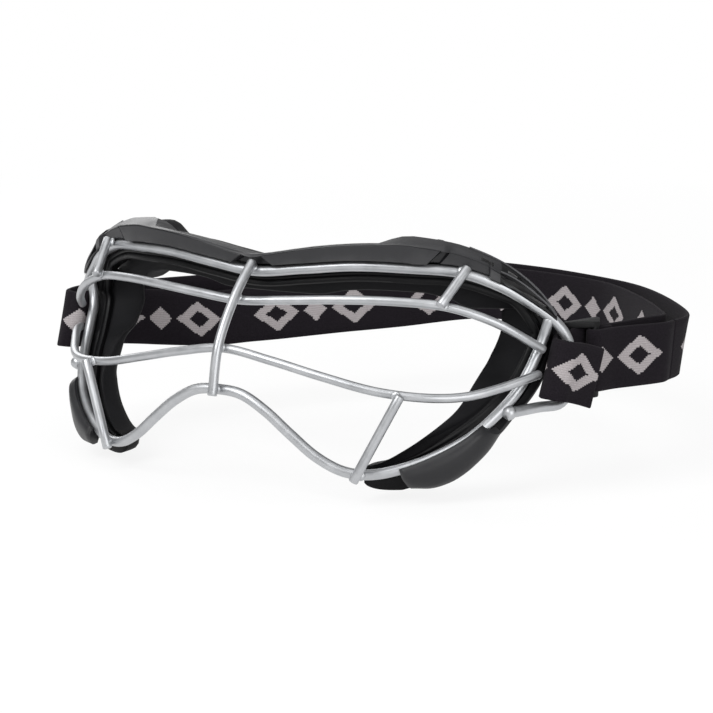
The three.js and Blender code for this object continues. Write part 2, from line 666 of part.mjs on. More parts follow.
// Webbing: a band on edge along a path seen from above. Each point of the path holds its own level, and
// lean gives how far the band's top edge lies back and outwards there, as shares of its height.
function band(curve, steps, lean = () => [0, 0]) {
  const rings = [];
  for (let k = 0; k <= steps; k += 1) {
    const point = curve.getPointAt(k / steps);
    const tangent = curve.getTangentAt(k / steps).setZ(0).normalize();
    const out = new THREE.Vector3(tangent.y, -tangent.x, 0);
    const [back, outwards] = lean(k / steps);
    const up = new THREE.Vector3(0, back, 1).addScaledVector(out, outwards).normalize();
    rings.push([[-1, -1], [1, -1], [1, 1], [-1, 1]].map(([side, level]) => {
      const corner = point.clone().addScaledVector(out, 0.5 * side * strapThickness);
      return corner.addScaledVector(up, 0.5 * level * strapWidth);
    }));
  }
  const outline = [[-1, -1], [1, -1], [1, 1], [-1, 1]].map(([u, v]) => new THREE.Vector2(u, v));
  return loft(rings, outline);
}

const loopCentre = new THREE.Vector3(loopHalfWidth, 0.625 * cageDepth, strapLevel);

// A point of the strap: across and back from the loop's wire, at the level of the webbing there.
function strapPoint(across, back) {
  const sag = strapSag * THREE.MathUtils.smoothstep(back, 0.4 * strapReach, strapReach);
  return new THREE.Vector3(across, loopCentre.y + back, strapLevel - sag);
}

// The U that the webbing makes round a loop's wire, from the root of its inner leg to that of its outer.
function wrapArc() {
  const points = [];
  const count = 6;
  const front = wrapFront - 0.5 * strapThickness - wrapHalfWidth;
  for (let k = 0; k <= count; k += 1) {
    const angle = (Math.PI * k) / count;
    const across = loopHalfWidth - wrapHalfWidth * Math.cos(angle);
    points.push(strapPoint(across, -front - wrapHalfWidth * Math.sin(angle)));
  }
  return points;
}

// The outer layer's line, and points of the inner layer that follows inside it.
function layerLines() {
  const outer = outerLayerShares.map(([across, back]) => strapPoint(across * loopHalfWidth, back * strapReach));
  const outerLine = smooth(outer);
  const count = 24;
  const inner = [];
  for (let k = 1; k < count - 1; k += 1) {
    const share = k / count;
    const point = outerLine.getPointAt(share);
    const tangent = outerLine.getTangentAt(share).setZ(0).normalize();
    const inside = new THREE.Vector3(-tangent.y, tangent.x, 0);
    const slack = Math.sin(Math.PI * THREE.MathUtils.smoothstep(share, 0.2, 1));
    point.addScaledVector(inside, layerSpacing + innerSpread * slack);
    point.z = strapLevel - innerSag * readTable(innerDropShares, share);
    inner.push(point);
  }
  return { outer, inner };
}

function smooth(points) {
  return new THREE.CatmullRomCurve3(points, false, 'centripetal');
}

const layers = layerLines();
const innerRoot = strapPoint(loopHalfWidth - wrapHalfWidth, 0);
const outerRoot = strapPoint(loopHalfWidth + wrapHalfWidth, 0);

// A point on the straight line from a leg's root towards a layer.
function legPoint(root, target, distance) {
  return root.clone().addScaledVector(target.clone().sub(root).normalize(), distance);
}

const runTarget = layers.inner[0].clone().setZ(strapLevel);
const runStart = legPoint(innerRoot, runTarget, wrapBack + webbingJointGap);
const runDirection = runTarget.clone().sub(runStart).normalize();
const runNormal = new THREE.Vector3(runDirection.y, -runDirection.x, 0);

function strapParts() {
  const joint = wrapBack + webbingJointGap;
  const innerEnd = layers.inner[layers.inner.length - 1];
  const rightInnerRoot = mirrorX(innerRoot);
  const rightOuterRoot = mirrorX(outerRoot);
  const inner = [
    runStart, runStart.clone().lerp(runTarget, 0.4), runStart.clone().lerp(runTarget, 0.8), ...layers.inner,
    legPoint(rightInnerRoot, innerEnd, 2 * joint), legPoint(rightInnerRoot, innerEnd, joint),
  ];
  addPart('strap_inner', band(smooth(inner), bandSteps, leanFrom(innerLeanShares)), webbing);
  const outerEnd = layers.outer[layers.outer.length - 1];
  const outer = [
    ...layers.outer, legPoint(rightOuterRoot, outerEnd, 2 * joint), legPoint(rightOuterRoot, outerEnd, joint),
  ];
  addPart('strap_outer', band(smooth(outer), bandSteps, leanFrom(outerLeanShares)), webbing);
  const flapRoot = wrapArc().pop();
  const flapMiddle = flapRoot.clone();
  flapMiddle.add(new THREE.Vector3(0.4 * flapSplay, 0.5 * flapLength, -0.6 * flapDrop));
  const flapEnd = flapRoot.clone().add(new THREE.Vector3(flapSplay, flapLength, -flapDrop));
  const leftArc = wrapArc().map((point, k, arc) => {
    const fall = flapRootFall * Math.max(0, (2 * k) / (arc.length - 1) - 1);
    return point.setZ(point.z - flapDrop * fall);
  });
  const leftPath = [legPoint(innerRoot, runTarget, wrapBack), innerRoot, ...leftArc, flapMiddle, flapEnd];
  addPart('strap_wrap_left', band(smooth(leftPath), wrapSteps, leanFrom(wrapLeanShares)), webbing);
  const rightPath = [
    legPoint(rightInnerRoot, innerEnd, wrapBack), rightInnerRoot, ...wrapArc().map(mirrorX),
    rightOuterRoot, legPoint(rightOuterRoot, outerEnd, wrapBack),
  ];
  const rightLean = (share) => {
    const [back, outwards] = leanFrom(wrapLeanShares)(0.7 * Math.min(share, 1 - share));
    return [back, -outwards];
  };
  addPart('strap_wrap_right', band(smooth(rightPath), wrapSteps, rightLean), webbing);
}

function leanFrom(rows) {
  return (share) => [readTable(rows, share, 1), readTable(rows, share, 2)];
}

// A point beside the inner layer's straight run: distance along it, and distance outwards from it.
function besideRun(along, out) {
  const point = runStart.clone().addScaledVector(runDirection, along);
  return point.addScaledVector(runNormal, out);
}

const halfStrap = 0.5 * strapThickness;
const outerBarOut = -(halfStrap + sliderClearance + 0.5 * sliderBar);
const centreBarOut = halfStrap + strapThickness + 2 * sliderClearance + 0.5 * sliderBar;
const centreBarAlong = sliderSetback - wrapBack;

function uprightPrism(corners, bottom, top) {
  const rings = [bottom, top].map((level) => corners.map((corner) => corner.clone().setZ(level)));
  const outline = corners.map((corner) => new THREE.Vector2(corner.x, corner.y));
  return toSolid(loft(rings, outline));
}

function sliderSolid() {
  const half = 0.5 * strapWidth + sliderClearance;
  const level = strapLevel;
  const corners = [[1, -0.4], [1, 0.4], [0.5, 1], [-0.5, 1], [-1, 0.4], [-1, -0.4], [-0.5, -1], [0.5, -1]];
  const bar = (along, out) => uprightPrism(corners.map(([across, deep]) => {
    return besideRun(along + 0.5 * across * sliderBarWidth, out + 0.5 * deep * sliderBar);
  }), level - half - 0.5 * sliderCheek, level + half + 0.5 * sliderCheek);
  const reach = sliderPitch + 0.5 * sliderBarWidth;
  const cheekCorners = [
    besideRun(centreBarAlong - reach, outerBarOut - 0.5 * sliderBar),
    besideRun(centreBarAlong + reach, outerBarOut - 0.5 * sliderBar),
    besideRun(centreBarAlong + reach, outerBarOut + 0.5 * sliderBar),
    besideRun(centreBarAlong + 0.5 * sliderBarWidth, centreBarOut + 0.5 * sliderBar),
    besideRun(centreBarAlong - 0.5 * sliderBarWidth, centreBarOut + 0.5 * sliderBar),
    besideRun(centreBarAlong - reach, outerBarOut + 0.5 * sliderBar),
  ];
  return toGeometry(bar(centreBarAlong, centreBarOut)
    .add(bar(centreBarAlong - sliderPitch, outerBarOut))
    .add(bar(centreBarAlong + sliderPitch, outerBarOut))
    .add(uprightPrism(cheekCorners, level + half, level + half + sliderCheek))
    .add(uprightPrism(cheekCorners, level - half - sliderCheek, level - half)));
}

// The outer layer's sewn end: round the slider's centre bar and back, then on to the outer layer.
function sliderStrapEnd() {
  const leg = 0.5 * sliderBar + sliderClearance + halfStrap;
  const nose = 0.5 * sliderBarWidth + sliderClearance + halfStrap;
  const points = [
    besideRun(centreBarAlong + endFoldLength, centreBarOut - 0.6 * leg),
    besideRun(centreBarAlong + sliderBarWidth, centreBarOut - leg),
  ];
  for (let k = 0; k <= 6; k += 1) {
    const angle = (Math.PI * k) / 6;
    points.push(besideRun(centreBarAlong - nose * Math.sin(angle), centreBarOut - leg * Math.cos(angle)));
  }
  points.push(besideRun(centreBarAlong + 0.8 * endFoldLength, centreBarOut + 1.15 * leg));
  const join = layers.outer[0].clone();
  const back = smooth(layers.outer).getTangentAt(0).setZ(0).normalize();
  join.addScaledVector(back, -webbingJointGap);
  points.push(join.clone().addScaledVector(back, -0.5 * endFoldLength), join);
  return band(smooth(points), bandSteps, leanFrom(endLeanShares));
}

wireCage();
capsAndPads();
strapParts();
addPart('slider', sliderSolid(), acetal);
addPart('slider_strap_end', sliderStrapEnd(), webbing);

export default goggles;
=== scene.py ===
import math

import bpy
import numpy as np
from mathutils import Matrix, Vector


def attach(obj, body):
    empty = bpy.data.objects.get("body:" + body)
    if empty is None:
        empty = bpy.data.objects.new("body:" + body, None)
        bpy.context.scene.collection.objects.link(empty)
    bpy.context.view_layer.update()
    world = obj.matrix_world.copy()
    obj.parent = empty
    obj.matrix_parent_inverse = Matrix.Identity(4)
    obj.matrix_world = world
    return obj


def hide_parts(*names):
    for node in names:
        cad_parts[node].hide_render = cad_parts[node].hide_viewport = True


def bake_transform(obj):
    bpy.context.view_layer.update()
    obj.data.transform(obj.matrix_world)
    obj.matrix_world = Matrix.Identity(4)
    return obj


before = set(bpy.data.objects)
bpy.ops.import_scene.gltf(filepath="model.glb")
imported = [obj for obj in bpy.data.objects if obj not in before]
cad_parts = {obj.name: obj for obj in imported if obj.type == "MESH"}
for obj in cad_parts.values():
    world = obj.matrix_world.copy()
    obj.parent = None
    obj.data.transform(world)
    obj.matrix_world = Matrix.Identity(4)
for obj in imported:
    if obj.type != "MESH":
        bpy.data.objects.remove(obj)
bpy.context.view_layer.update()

# Sizes are in millimetres, as in the solids, and become metres when a mesh is made. +X is the
# wearer's left and +Y the face side. Tables hold the +X half, and the other half mirrors it.
MM = 0.001
LOOP_HALF_WIDTH = 89.0
CAGE_DEPTH = 54.4
CAGE_DROP = 57.5
BROW_DEPTH = 20.0
WIRE = 1.6
RAIL = 1.35
POST = 1.45
WELD = 0.3

# Places on the wires, as shares of the loops' half width, the cage's depth and its drop.
BROW_SHARES = (
    (0, 0, -0.047), (0.18, 0.015, -0.018), (0.36, 0.067, 0.01), (0.539, 0.16, 0.007),
    (0.697, 0.276, -0.013), (0.817, 0.385, -0.088), (0.896, 0.482, -0.179), (0.958, 0.56, -0.269),
    (0.991, 0.603, -0.359), (1, 0.625, -0.487), (0.999, 0.618, -0.616), (0.984, 0.555, -0.69),
    (0.936, 0.438, -0.7), (0.883, 0.262, -0.708),
)
PERIMETER_SHARES = (
    (0, -0.375, -0.617), (0.09, -0.379, -0.63), (0.18, -0.373, -0.703), (0.27, -0.357, -0.812),
    (0.36, -0.324, -0.923), (0.449, -0.276, -0.991), (0.539, -0.21, -1), (0.652, -0.088, -0.95),
    (0.742, 0.029, -0.877), (0.798, 0.121, -0.81), (0.846, 0.232, -0.717), (0.88, 0.338, -0.624),
    (0.901, 0.434, -0.515), (0.919, 0.52, -0.382),
)
UPPER_RAIL_SHARES = (
    (0, -0.158, -0.181), (0.18, -0.142, -0.162), (0.36, -0.096, -0.144), (0.539, 0.005, -0.144),
    (0.697, 0.124, -0.169), (0.8335, 0.25, -0.25), (0.9145, 0.371, -0.346), (0.946, 0.462, -0.404),
)
LOWER_RAIL_SHARES = (
    (0, -0.327, -0.41), (0.18, -0.3125, -0.452), (0.36, -0.27, -0.515), (0.539, -0.195, -0.577),
    (0.697, -0.085, -0.603), (0.792, 0.048, -0.602), (0.872, 0.221, -0.57), (0.928, 0.365, -0.534),
    (0.94, 0.43, -0.526),
)


# Materials.
class Nodes:
    """A node tree, with short calls for the nodes it uses."""

    def __init__(self, tree):
        self.tree = tree

    def new(self, kind):
        return self.tree.nodes.new("ShaderNode" + kind)

    def link(self, a, b):
        self.tree.links.new(a, b)

    def put(self, value, socket):
        if isinstance(value, bpy.types.NodeSocket):
            self.link(value, socket)
        else:
            socket.default_value = value

    def fill(self, node, **values):
        for key, value in values.items():
            self.put(value, node.inputs[key.replace("_", " ")])
        return node

    def math(self, operation, a, b=0.0, clamp=False):
        node = self.new("Math")
        node.operation = operation
        node.use_clamp = clamp
        self.put(a, node.inputs[0])
        self.put(b, node.inputs[1])
        return node.outputs[0]

    def coords(self, kind="Object", scale=(1, 1, 1)):
        vector = self.new("TexCoord").outputs[kind]
        return self.fill(self.new("Mapping"), Vector=vector, Scale=scale).outputs["Vector"]

    def noise(self, scale, detail=2.0, rough=0.5, vector=None):
        node = self.fill(self.new("TexNoise"), Vector=vector or self.coords(), Scale=scale,
                         Detail=detail, Roughness=rough)
        return node.outputs["Fac"]

    def range(self, value, low, high, to_low=0.0, to_high=1.0):
        node = self.fill(self.new("MapRange"), Value=value, From_Min=low, From_Max=high,
                         To_Min=to_low, To_Max=to_high)
        return node.outputs["Result"]

    def mix(self, factor, a, b):
        node = self.new("Mix")
        node.data_type = "RGBA"
        self.put(factor, node.inputs["Factor"])
        for value, socket in ((a, node.inputs[6]), (b, node.inputs[7])):
            linked = isinstance(value, bpy.types.NodeSocket)
            self.put(value if linked else (*value, 1.0), socket)
        return node.outputs[2]

    def bump(self, height, strength, distance, **normal):
        node = self.fill(self.new("Bump"), Height=height, Strength=strength, Distance=distance,
                         **normal)
        return node.outputs["Normal"]


class Surface(Nodes):
    """A material with one principled shader."""

    def __init__(self, name):
        self.material = bpy.data.materials.new(name)
        self.material.use_nodes = True
        super().__init__(self.material.node_tree)
        self.tree.nodes.clear()
        self.out = self.new("OutputMaterial")
        self.shader = self.new("BsdfPrincipled")
        self.link(self.shader.outputs[0], self.out.inputs[0])

    def set(self, **values):
        self.fill(self.shader, **values)


def scaled(tone, factor):
    return tuple(c * factor for c in tone)


def metal_material():
    """Satin silver wire: fine drawing marks along it, a slight mottle and dull patches."""
    n = Surface("satin_wire")
    lines = n.noise(12.0, 3.0, vector=n.coords("UV", (30.0, 9.0, 1.0)))
    blotch = n.noise(160.0, 4.0, 0.6)
    cloud = n.noise(60.0, vector=n.coords("UV"))
    tone = n.mix(n.range(blotch, 0.3, 0.7), (0.43, 0.44, 0.455), (0.55, 0.56, 0.575))
    tone = n.mix(n.range(cloud, 0.35, 0.7, 0.0, 0.35), tone, (0.36, 0.37, 0.385))
    n.set(Base_Color=tone, Metallic=0.88, Roughness=n.range(blotch, 0.3, 0.7, 0.33, 0.47))
    n.set(Normal=n.bump(blotch, 0.10, 0.0004, Normal=n.bump(lines, 0.12, 0.0002)))
    return n.material


def plastic_material(name, tone, rough, lift=0.05, gloss=0.38):
    """Moulded satin plastic with a fine spark-eroded grain, and a painted highlight: its sharp
    edges paler, in patches.
    """
    n = Surface(name)
    spots = n.noise(5200.0)
    haze = n.noise(90.0, 3.0, 0.6)
    # Painted highlight: sharp edges, found by pointiness, get a base colour paler by lift, patchy
    # with the haze.
    edge = n.range(n.new("NewGeometry").outputs["Pointiness"], 0.52, 0.60)
    edge_highlight = n.math("MULTIPLY", edge, n.range(haze, 0.35, 0.7), True)
    base = n.mix(n.range(haze, 0.3, 0.75, 0.0, 0.5), tone, scaled(tone, 1.35))
    n.set(Base_Color=n.mix(edge_highlight, base, tuple(c + lift for c in tone)))
    n.set(Roughness=n.range(haze, 0.25, 0.75, rough - 0.05, rough + 0.07))
    n.set(Normal=n.bump(spots, 0.22, 0.00012), Specular_IOR_Level=gloss)
    return n.material


def foam_material(name, tone, rough, gloss, sheen):
    """Moulded foam skin: matt, with fine pores and a soft sheen."""
    n = Surface(name)
    pores = n.noise(3800.0, 3.0, 0.65)
    haze = n.noise(70.0, 3.0, 0.55)
    base = n.mix(n.range(haze, 0.3, 0.7), tone, scaled(tone, 1.8))
    n.set(Base_Color=base, Roughness=n.range(haze, 0.3, 0.7, rough - 0.06, rough + 0.06))
    n.set(Sheen_Weight=sheen, Sheen_Roughness=0.5, Specular_IOR_Level=gloss)
    n.set(Normal=n.bump(pores, 0.3, 0.00018))
    return n.material


# The woven border in metres: a pick's length, an end's width and the repeat. Then its lozenges:
# centre along the repeat, length, height, and how much of each is hollow.
PICK, END, REPEAT = 0.00062, 0.00052, 0.058
LOZENGES = ((0.0105, 0.0170, 0.0125, 0.46), (0.0250, 0.0086, 0.0080, 0.0),
            (0.0395, 0.0170, 0.0125, 0.46))


def lozenge(n, along, across, centre, length, height):
    """1 inside a lozenge on the webbing, centred on its width."""
    a = n.math("DIVIDE", n.math("ABSOLUTE", n.math("SUBTRACT", along, centre)), length / 2)
    b = n.math("DIVIDE", n.math("ABSOLUTE", across), height / 2)
    return n.math("LESS_THAN", n.math("ADD", a, b), 1.0)


def in_steps(n, value, step):
    return n.math("MULTIPLY", n.math("FLOOR", n.math("DIVIDE", value, step)), step)


def waves(n, value, period):
    return n.math("SINE", n.math("MULTIPLY", value, 2 * math.pi / period))


def webbing_material():
    """Woven elastic: ribs along it, picks across, and a lozenge border in a warm grey yarn."""
    n = Surface("elastic_webbing")
    split = n.new("SeparateXYZ")
    n.link(n.coords("UV"), split.inputs[0])
    along, across = split.outputs[0], split.outputs[1]
    level = in_steps(n, across, END)
    place = n.math("FLOORED_MODULO", in_steps(n, along, PICK), REPEAT)
    mask = None
    for centre, length, height, hollow in LOZENGES:
        shape = lozenge(n, place, level, centre, length, height)
        if hollow:
            hole = lozenge(n, place, level, centre, length * hollow, height * hollow)
            shape = n.math("SUBTRACT", shape, hole, True)
        mask = shape if mask is None else n.math("MAXIMUM", mask, shape)
    picks = n.math("ADD", n.math("MULTIPLY", waves(n, along, 0.0009), 0.35), 0.65)
    weave = n.math("MULTIPLY", waves(n, across, 0.00075), picks)
    fuzz = n.noise(2600.0, 3.0, 0.6)
    yarn = n.range(fuzz, 0.3, 0.7)
    dark = n.mix(yarn, (0.0055, 0.0042, 0.006), (0.0125, 0.01, 0.0135))
    grey = n.mix(yarn, (0.30, 0.275, 0.28), (0.44, 0.41, 0.415))
    # The grey yarn turns darker where the weave dips: painted shade in the weave's hollows.
    grey = n.mix(n.range(weave, -1.0, 1.0, 0.55, 0.0), grey, (0.20, 0.18, 0.185))
    n.set(Base_Color=n.mix(mask, dark, grey), Roughness=0.92)
    n.set(Sheen_Weight=0.03, Sheen_Roughness=0.6, Specular_IOR_Level=0.08)
    height = n.math("ADD", n.math("MULTIPLY", weave, 0.5), n.math("MULTIPLY", fuzz, 0.5))
    raised = n.math("ADD", height, n.math("MULTIPLY", mask, 0.8))
    n.set(Normal=n.bump(raised, 0.35, 0.00012))
    return n.material


SILVER = metal_material()
CAP = plastic_material("cap_plastic", (0.019, 0.019, 0.021), 0.38)
CHEEK = plastic_material("cheek_plastic", (0.0125, 0.0125, 0.0142), 0.4, 0.03, 0.34)
CARRIER = foam_material("carrier_rubber", (0.0022, 0.0022, 0.0026), 0.38, 0.2, 0.0)
PAD = foam_material("pad_foam", (0.0048, 0.0048, 0.0056), 0.66, 0.15, 0.02)
WEBBING = webbing_material()
ACETAL = plastic_material("slider_plastic", (0.0045, 0.0045, 0.005), 0.5, 0.006, 0.2)
# A darker copy of the cap plastic for the wing's web: painted shade over the wing.
WING_SHADE_PLASTIC = plastic_material("wing_plastic_painted_shade", (0.005, 0.005, 0.0058), 0.34, 0.01, 0.25)
# A paler copy of the cap plastic for the wing's ribs: painted highlight along them.
RIB_HIGHLIGHT_PLASTIC = plastic_material("rib_plastic_painted_highlight", (0.045, 0.045, 0.049), 0.24)


# Lines and meshes.
def cage(share):
    return np.array([share[0] * LOOP_HALF_WIDTH, share[1] * CAGE_DEPTH - BROW_DEPTH,
                     share[2] * CAGE_DROP])


def mirror(point):
    return np.array([-point[0], point[1], point[2]])


def on_side(point, side):
    return point if side > 0 else mirror(point)


def side_name(side):
    return "left" if side > 0 else "right"


def unit(v):
    return v / np.linalg.norm(v)


def unit_rows(rows):
    return rows / np.linalg.norm(rows, axis=1)[:, None]


def tangents(line):
    return unit_rows(np.gradient(line, axis=0))


def blend_at(a, b, start, end, t):
    return a * (end - t) / (end - start) + b * (t - start) / (end - start)


def dense(points, per=24):
    """A centripetal Catmull-Rom line through points, as the solids' lines are."""
    p = [np.asarray(q, float) for q in points]
    p = [2 * p[0] - p[1]] + p + [2 * p[-1] - p[-2]]
    line = []
    for k in range(1, len(p) - 2):
        knots = [0.0]
        for j in range(3):
            step = np.linalg.norm(p[k + j] - p[k + j - 1])
            knots.append(knots[-1] + max(step, 1e-9) ** 0.5)
        last = k == len(p) - 3
        for t in np.linspace(knots[1], knots[2], per + (1 if last else 0), endpoint=last):
            a = [blend_at(p[k - 1 + j], p[k + j], knots[j], knots[j + 1], t) for j in range(3)]
            b = [blend_at(a[j], a[j + 1], knots[j], knots[j + 2], t) for j in range(2)]
            line.append(blend_at(b[0], b[1], knots[1], knots[2], t))
    return np.array(line)


def both_halves(half):
    return dense([mirror(q) for q in half[:0:-1]] + half)


def run_length(line):
    """How far along a polyline each of its points lies."""
    return np.r_[0, np.cumsum(np.linalg.norm(np.diff(line, axis=0), axis=1))]


def even(line, count):
    """count points at even spacing along a polyline."""
    steps = run_length(line)
    want = np.linspace(0, steps[-1], count)
    return np.stack([np.interp(want, steps, line[:, k]) for k in range(3)], 1)


def smoothstep(x, a, b):
    t = min(max(float(x - a) / (b - a), 0.0), 1.0)
    return t * t * (3 - 2 * t)


def read(table, place, column=1):
    return float(np.interp(place, [row[0] for row in table], [row[column] for row in table]))


def smooth_read(table, place):
    """A table read with its corners rounded off."""
    near = [min(max(place + 0.035 * k, 0.0), 1.0) for k in range(-3, 4)]
    return float(np.mean([read(table, q) for q in near]))


def placed(name, data):
    obj = bpy.data.objects.new(name, data)
    bpy.context.scene.collection.objects.link(obj)
    return obj


def volume(v, faces):
    """Six times the volume that faces enclose, negative where they look inwards."""
    return sum(np.dot(v[f[0]], np.cross(v[f[k]], v[f[k + 1]]))
               for f in faces for k in range(1, len(f) - 1))


def loft(name, rings, material, body, uv=None, replaces=(), smooth=True):
    """A closed body through rings. uv gives (u, v) in metres by ring and corner."""
    n, last = len(rings[0]), len(rings) - 1
    verts = [q for ring in rings for q in ring]
    corners = [((k, j), (k, j + 1), (k + 1, j + 1), (k + 1, j))
               for k in range(last) for j in range(n)]
    faces = [tuple(k * n + j % n for k, j in corner) for corner in corners]
    for ring in (0, last):
        turn = -1 if ring else 1
        for j in range(n):
            faces.append((ring * n + (j + 1) % n, ring * n + j, len(verts))[::turn])
            corners.append(((ring, j + 1), (ring, j), (ring, j))[::turn])
        verts.append(np.mean(rings[ring], axis=0))
    if volume(verts, faces) < 0:
        faces, corners = [f[::-1] for f in faces], [c[::-1] for c in corners]
    mesh = bpy.data.meshes.new(name)
    mesh.from_pydata([tuple(MM * v) for v in verts], [], faces)
    mesh.validate()
    if uv:
        coords = [uv(*place) for corner in corners for place in corner]
        mesh.uv_layers.new(name="uv").data.foreach_set("uv", np.array(coords, float).ravel())
    mesh.materials.append(material)
    if smooth:
        mesh.shade_smooth()
    obj = placed(name, mesh)
    if body:
        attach(obj, body)
    if replaces:
        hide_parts(*replaces)
    return obj


def rod(name, line, radius, body="frame", replaces=(), sides=20, chamfer=0.35, material=SILVER):
    """A round wire along a line, its cut ends slightly rounded."""
    t = tangents(line)
    side = np.cross(t[0], (0.0, 0.0, 1.0) if abs(t[0][2]) < 0.9 else (1.0, 0.0, 0.0))
    axes = []
    for k in range(len(line)):
        side = unit(side - t[k] * np.dot(side, t[k]))
        axes.append((side, np.cross(t[k], side)))
    ends = [(chamfer, 0.0), (0.3 * chamfer, 0.29 * chamfer), (0.0, chamfer)]
    path = [(line[0] + t[0] * d, radius - r, axes[0]) for r, d in ends]
    path += [(line[k], radius, axes[k]) for k in range(1, len(line) - 1)]
    path += [(line[-1] - t[-1] * d, radius - r, axes[-1]) for r, d in reversed(ends)]
    angles = [2 * math.pi * j / sides for j in range(sides)]
    rings = [[centre + r * (math.cos(w) * a + math.sin(w) * b) for w in angles]
             for centre, r, (a, b) in path]
    where = run_length(np.array([centre for centre, _, _ in path]))
    around = 2 * math.pi * radius * MM / sides
    return loft(name, rings, material, body,
                lambda k, j: (MM * where[k], around * j), replaces)


def bead(name, centre, size, turn=np.eye(3)):
    """A weld bead: a ball, flattened and slightly uneven."""
    levels, sides = 10, 16
    rings = []
    for k in range(1, levels):
        polar = math.pi * k / levels
        ring = []
        for j in range(sides):
            w = 2 * math.pi * j / sides
            wobble = 1 + 0.05 * math.sin(3 * w + 2 * polar) + 0.03 * math.cos(5 * w)
            way = np.array([math.sin(polar) * math.cos(w), math.sin(polar) * math.sin(w),
                            math.cos(polar)])
            ring.append(centre + turn @ (way * size * wobble))
        rings.append(ring)
    return loft(name, rings, SILVER, "frame", lambda k, j: (0.0004 * k, 0.0003 * j))


# The cage.
def plus_half(line):
    return line[int(np.argmin(np.abs(line[:, 0]))):]


def crossing(line, x):
    """Where the +X half of a line first reaches x: the place, and the way the line runs there."""
    half = plus_half(line)
    for a, b in zip(half, half[1:]):
        if b[0] >= x:
            t = (x - a[0]) / (b[0] - a[0])
            return a * (1 - t) + b * t, unit(b - a)
    return line[-1], tangents(line)[-1]


brow_line, upper_line, lower_line = (
    both_halves([cage(s) for s in shares])
    for shares in (BROW_SHARES, UPPER_RAIL_SHARES, LOWER_RAIL_SHARES))
# The perimeter wire runs up into the brow wire at this place along X.
SEAT_PLACE = 84.0
seat = crossing(brow_line, SEAT_PLACE)[0]
perimeter_half = [cage(s) for s in PERIMETER_SHARES]
perimeter_half.append(seat - unit(seat - perimeter_half[-1]) * 0.25 * WIRE)
perimeter_line = both_halves(perimeter_half)

# Each wire with its radius, from the top.
WIRES = ((brow_line, WIRE), (upper_line, RAIL), (lower_line, RAIL), (perimeter_line, WIRE))
# The short posts: their two wires, where along X they cross each, and how far they pass each.
POSTS = (("upper", WIRES[:2], (63.1, 60.6), (0.3, 1.9)),
         ("lower", WIRES[2:], (54.6, 43.3), (0.6, 1.9)))
POST_OVER, POST_UNDER = 0.9, 2.2
WELD_BEAD, LOOP_BALL = (1.5, 1.5, 0.75), (2.15, 2.15, 2.15)


def in_front(wire, x, direction):
    point, tangent = crossing(wire[0], x)
    out = unit(np.cross(direction, tangent))
    if out[1] > 0:
        out = -out
    return point + out * (wire[1] + POST + WELD)


def short_post(name, wires, places, over, side):
    (top, bottom), (top_x, bottom_x) = wires, places
    direction = unit(crossing(top[0], top_x)[0] - crossing(bottom[0], bottom_x)[0])
    head, foot = in_front(top, top_x, direction), in_front(bottom, bottom_x, direction)
    along = unit(head - foot)
    head, foot = head + along * over[0], foot - along * over[1]
    line = np.array([on_side(foot + (head - foot) * t, side) for t in np.linspace(0, 1, 6)])
    return rod(name, line, POST, replaces=(name,))


def post_line():
    centres = [crossing(line, 0.0)[0] for line, _ in WIRES]
    points = []
    for k, centre in enumerate(centres):
        run = unit(centres[min(k + 1, 3)] - centres[max(k - 1, 0)])
        points.append(centre + np.array([0, run[2], -run[1]]) * (WIRES[k][1] + POST + WELD))
    top, tail = unit(points[0] - points[1]), unit(points[3] - points[2])
    return even(dense([points[0] + POST_OVER * top, *points, points[3] + POST_UNDER * tail]), 40)


def weld(name, a, b):
    """A bead where two lines come closest, flattened along the way between them."""
    gaps = np.linalg.norm(a[:, None] - b[None], axis=2)
    i, j = np.unravel_index(int(np.argmin(gaps)), gaps.shape)
    way, along = unit(a[i] - b[j]), tangents(a)[i]
    first = unit(along - way * np.dot(along, way))
    turn = np.stack([first, np.cross(way, first), way], 1)
    bead(name, 0.5 * (a[i] + b[j]), WELD_BEAD, turn)


def cage_pieces():
    for name, (line, radius), count in zip(
            ("brow_wire", "perimeter_wire", "upper_rail", "lower_rail"),
            (WIRES[0], WIRES[3], WIRES[1], WIRES[2]), (260, 240, 130, 140)):
        rod(name, even(line, count), radius, replaces=(name,))
    centre = post_line()
    rod("centre_post", centre, POST, replaces=("centre_post",))
    for side in (1, -1):
        posts = [short_post(f"{kind}_post_{side_name(side)}", wires, places, over, side)
                 for kind, wires, places, over in POSTS]
        for post, (_, wires, _, _) in zip(posts, POSTS):
            axis = np.array([1000 * np.array(v.co) for v in post.data.vertices])
            low, high = axis[axis[:, 2].argmin()], axis[axis[:, 2].argmax()]
            line = np.array([low + (high - low) * t for t in np.linspace(0, 1, 200)])
            for letter, wire in zip("ab", wires):
                weld(f"weld_{post.name}_{letter}", line, wire[0])
    for number, wire in enumerate(WIRES):
        weld(f"weld_centre_{number}", even(centre, 400), wire[0])
    for side in (1, -1):
        bead(f"loop_weld_{side_name(side)}", on_side(brow_line[-1], side), LOOP_BALL)


cage_pieces()


# Moulded caps.
def on_brow(x, depth, height):
    """A place beside the brow wire: depth is level and square to the wire, height is +Z."""
    point, tangent = crossing(brow_line, abs(x))
    level = math.hypot(tangent[0], tangent[1])
    side = 1.0 if x >= 0 else -1.0
    return np.array([side * (point[0] - depth * tangent[1] / level),
                     point[1] + depth * tangent[0] / level, point[2] + height])


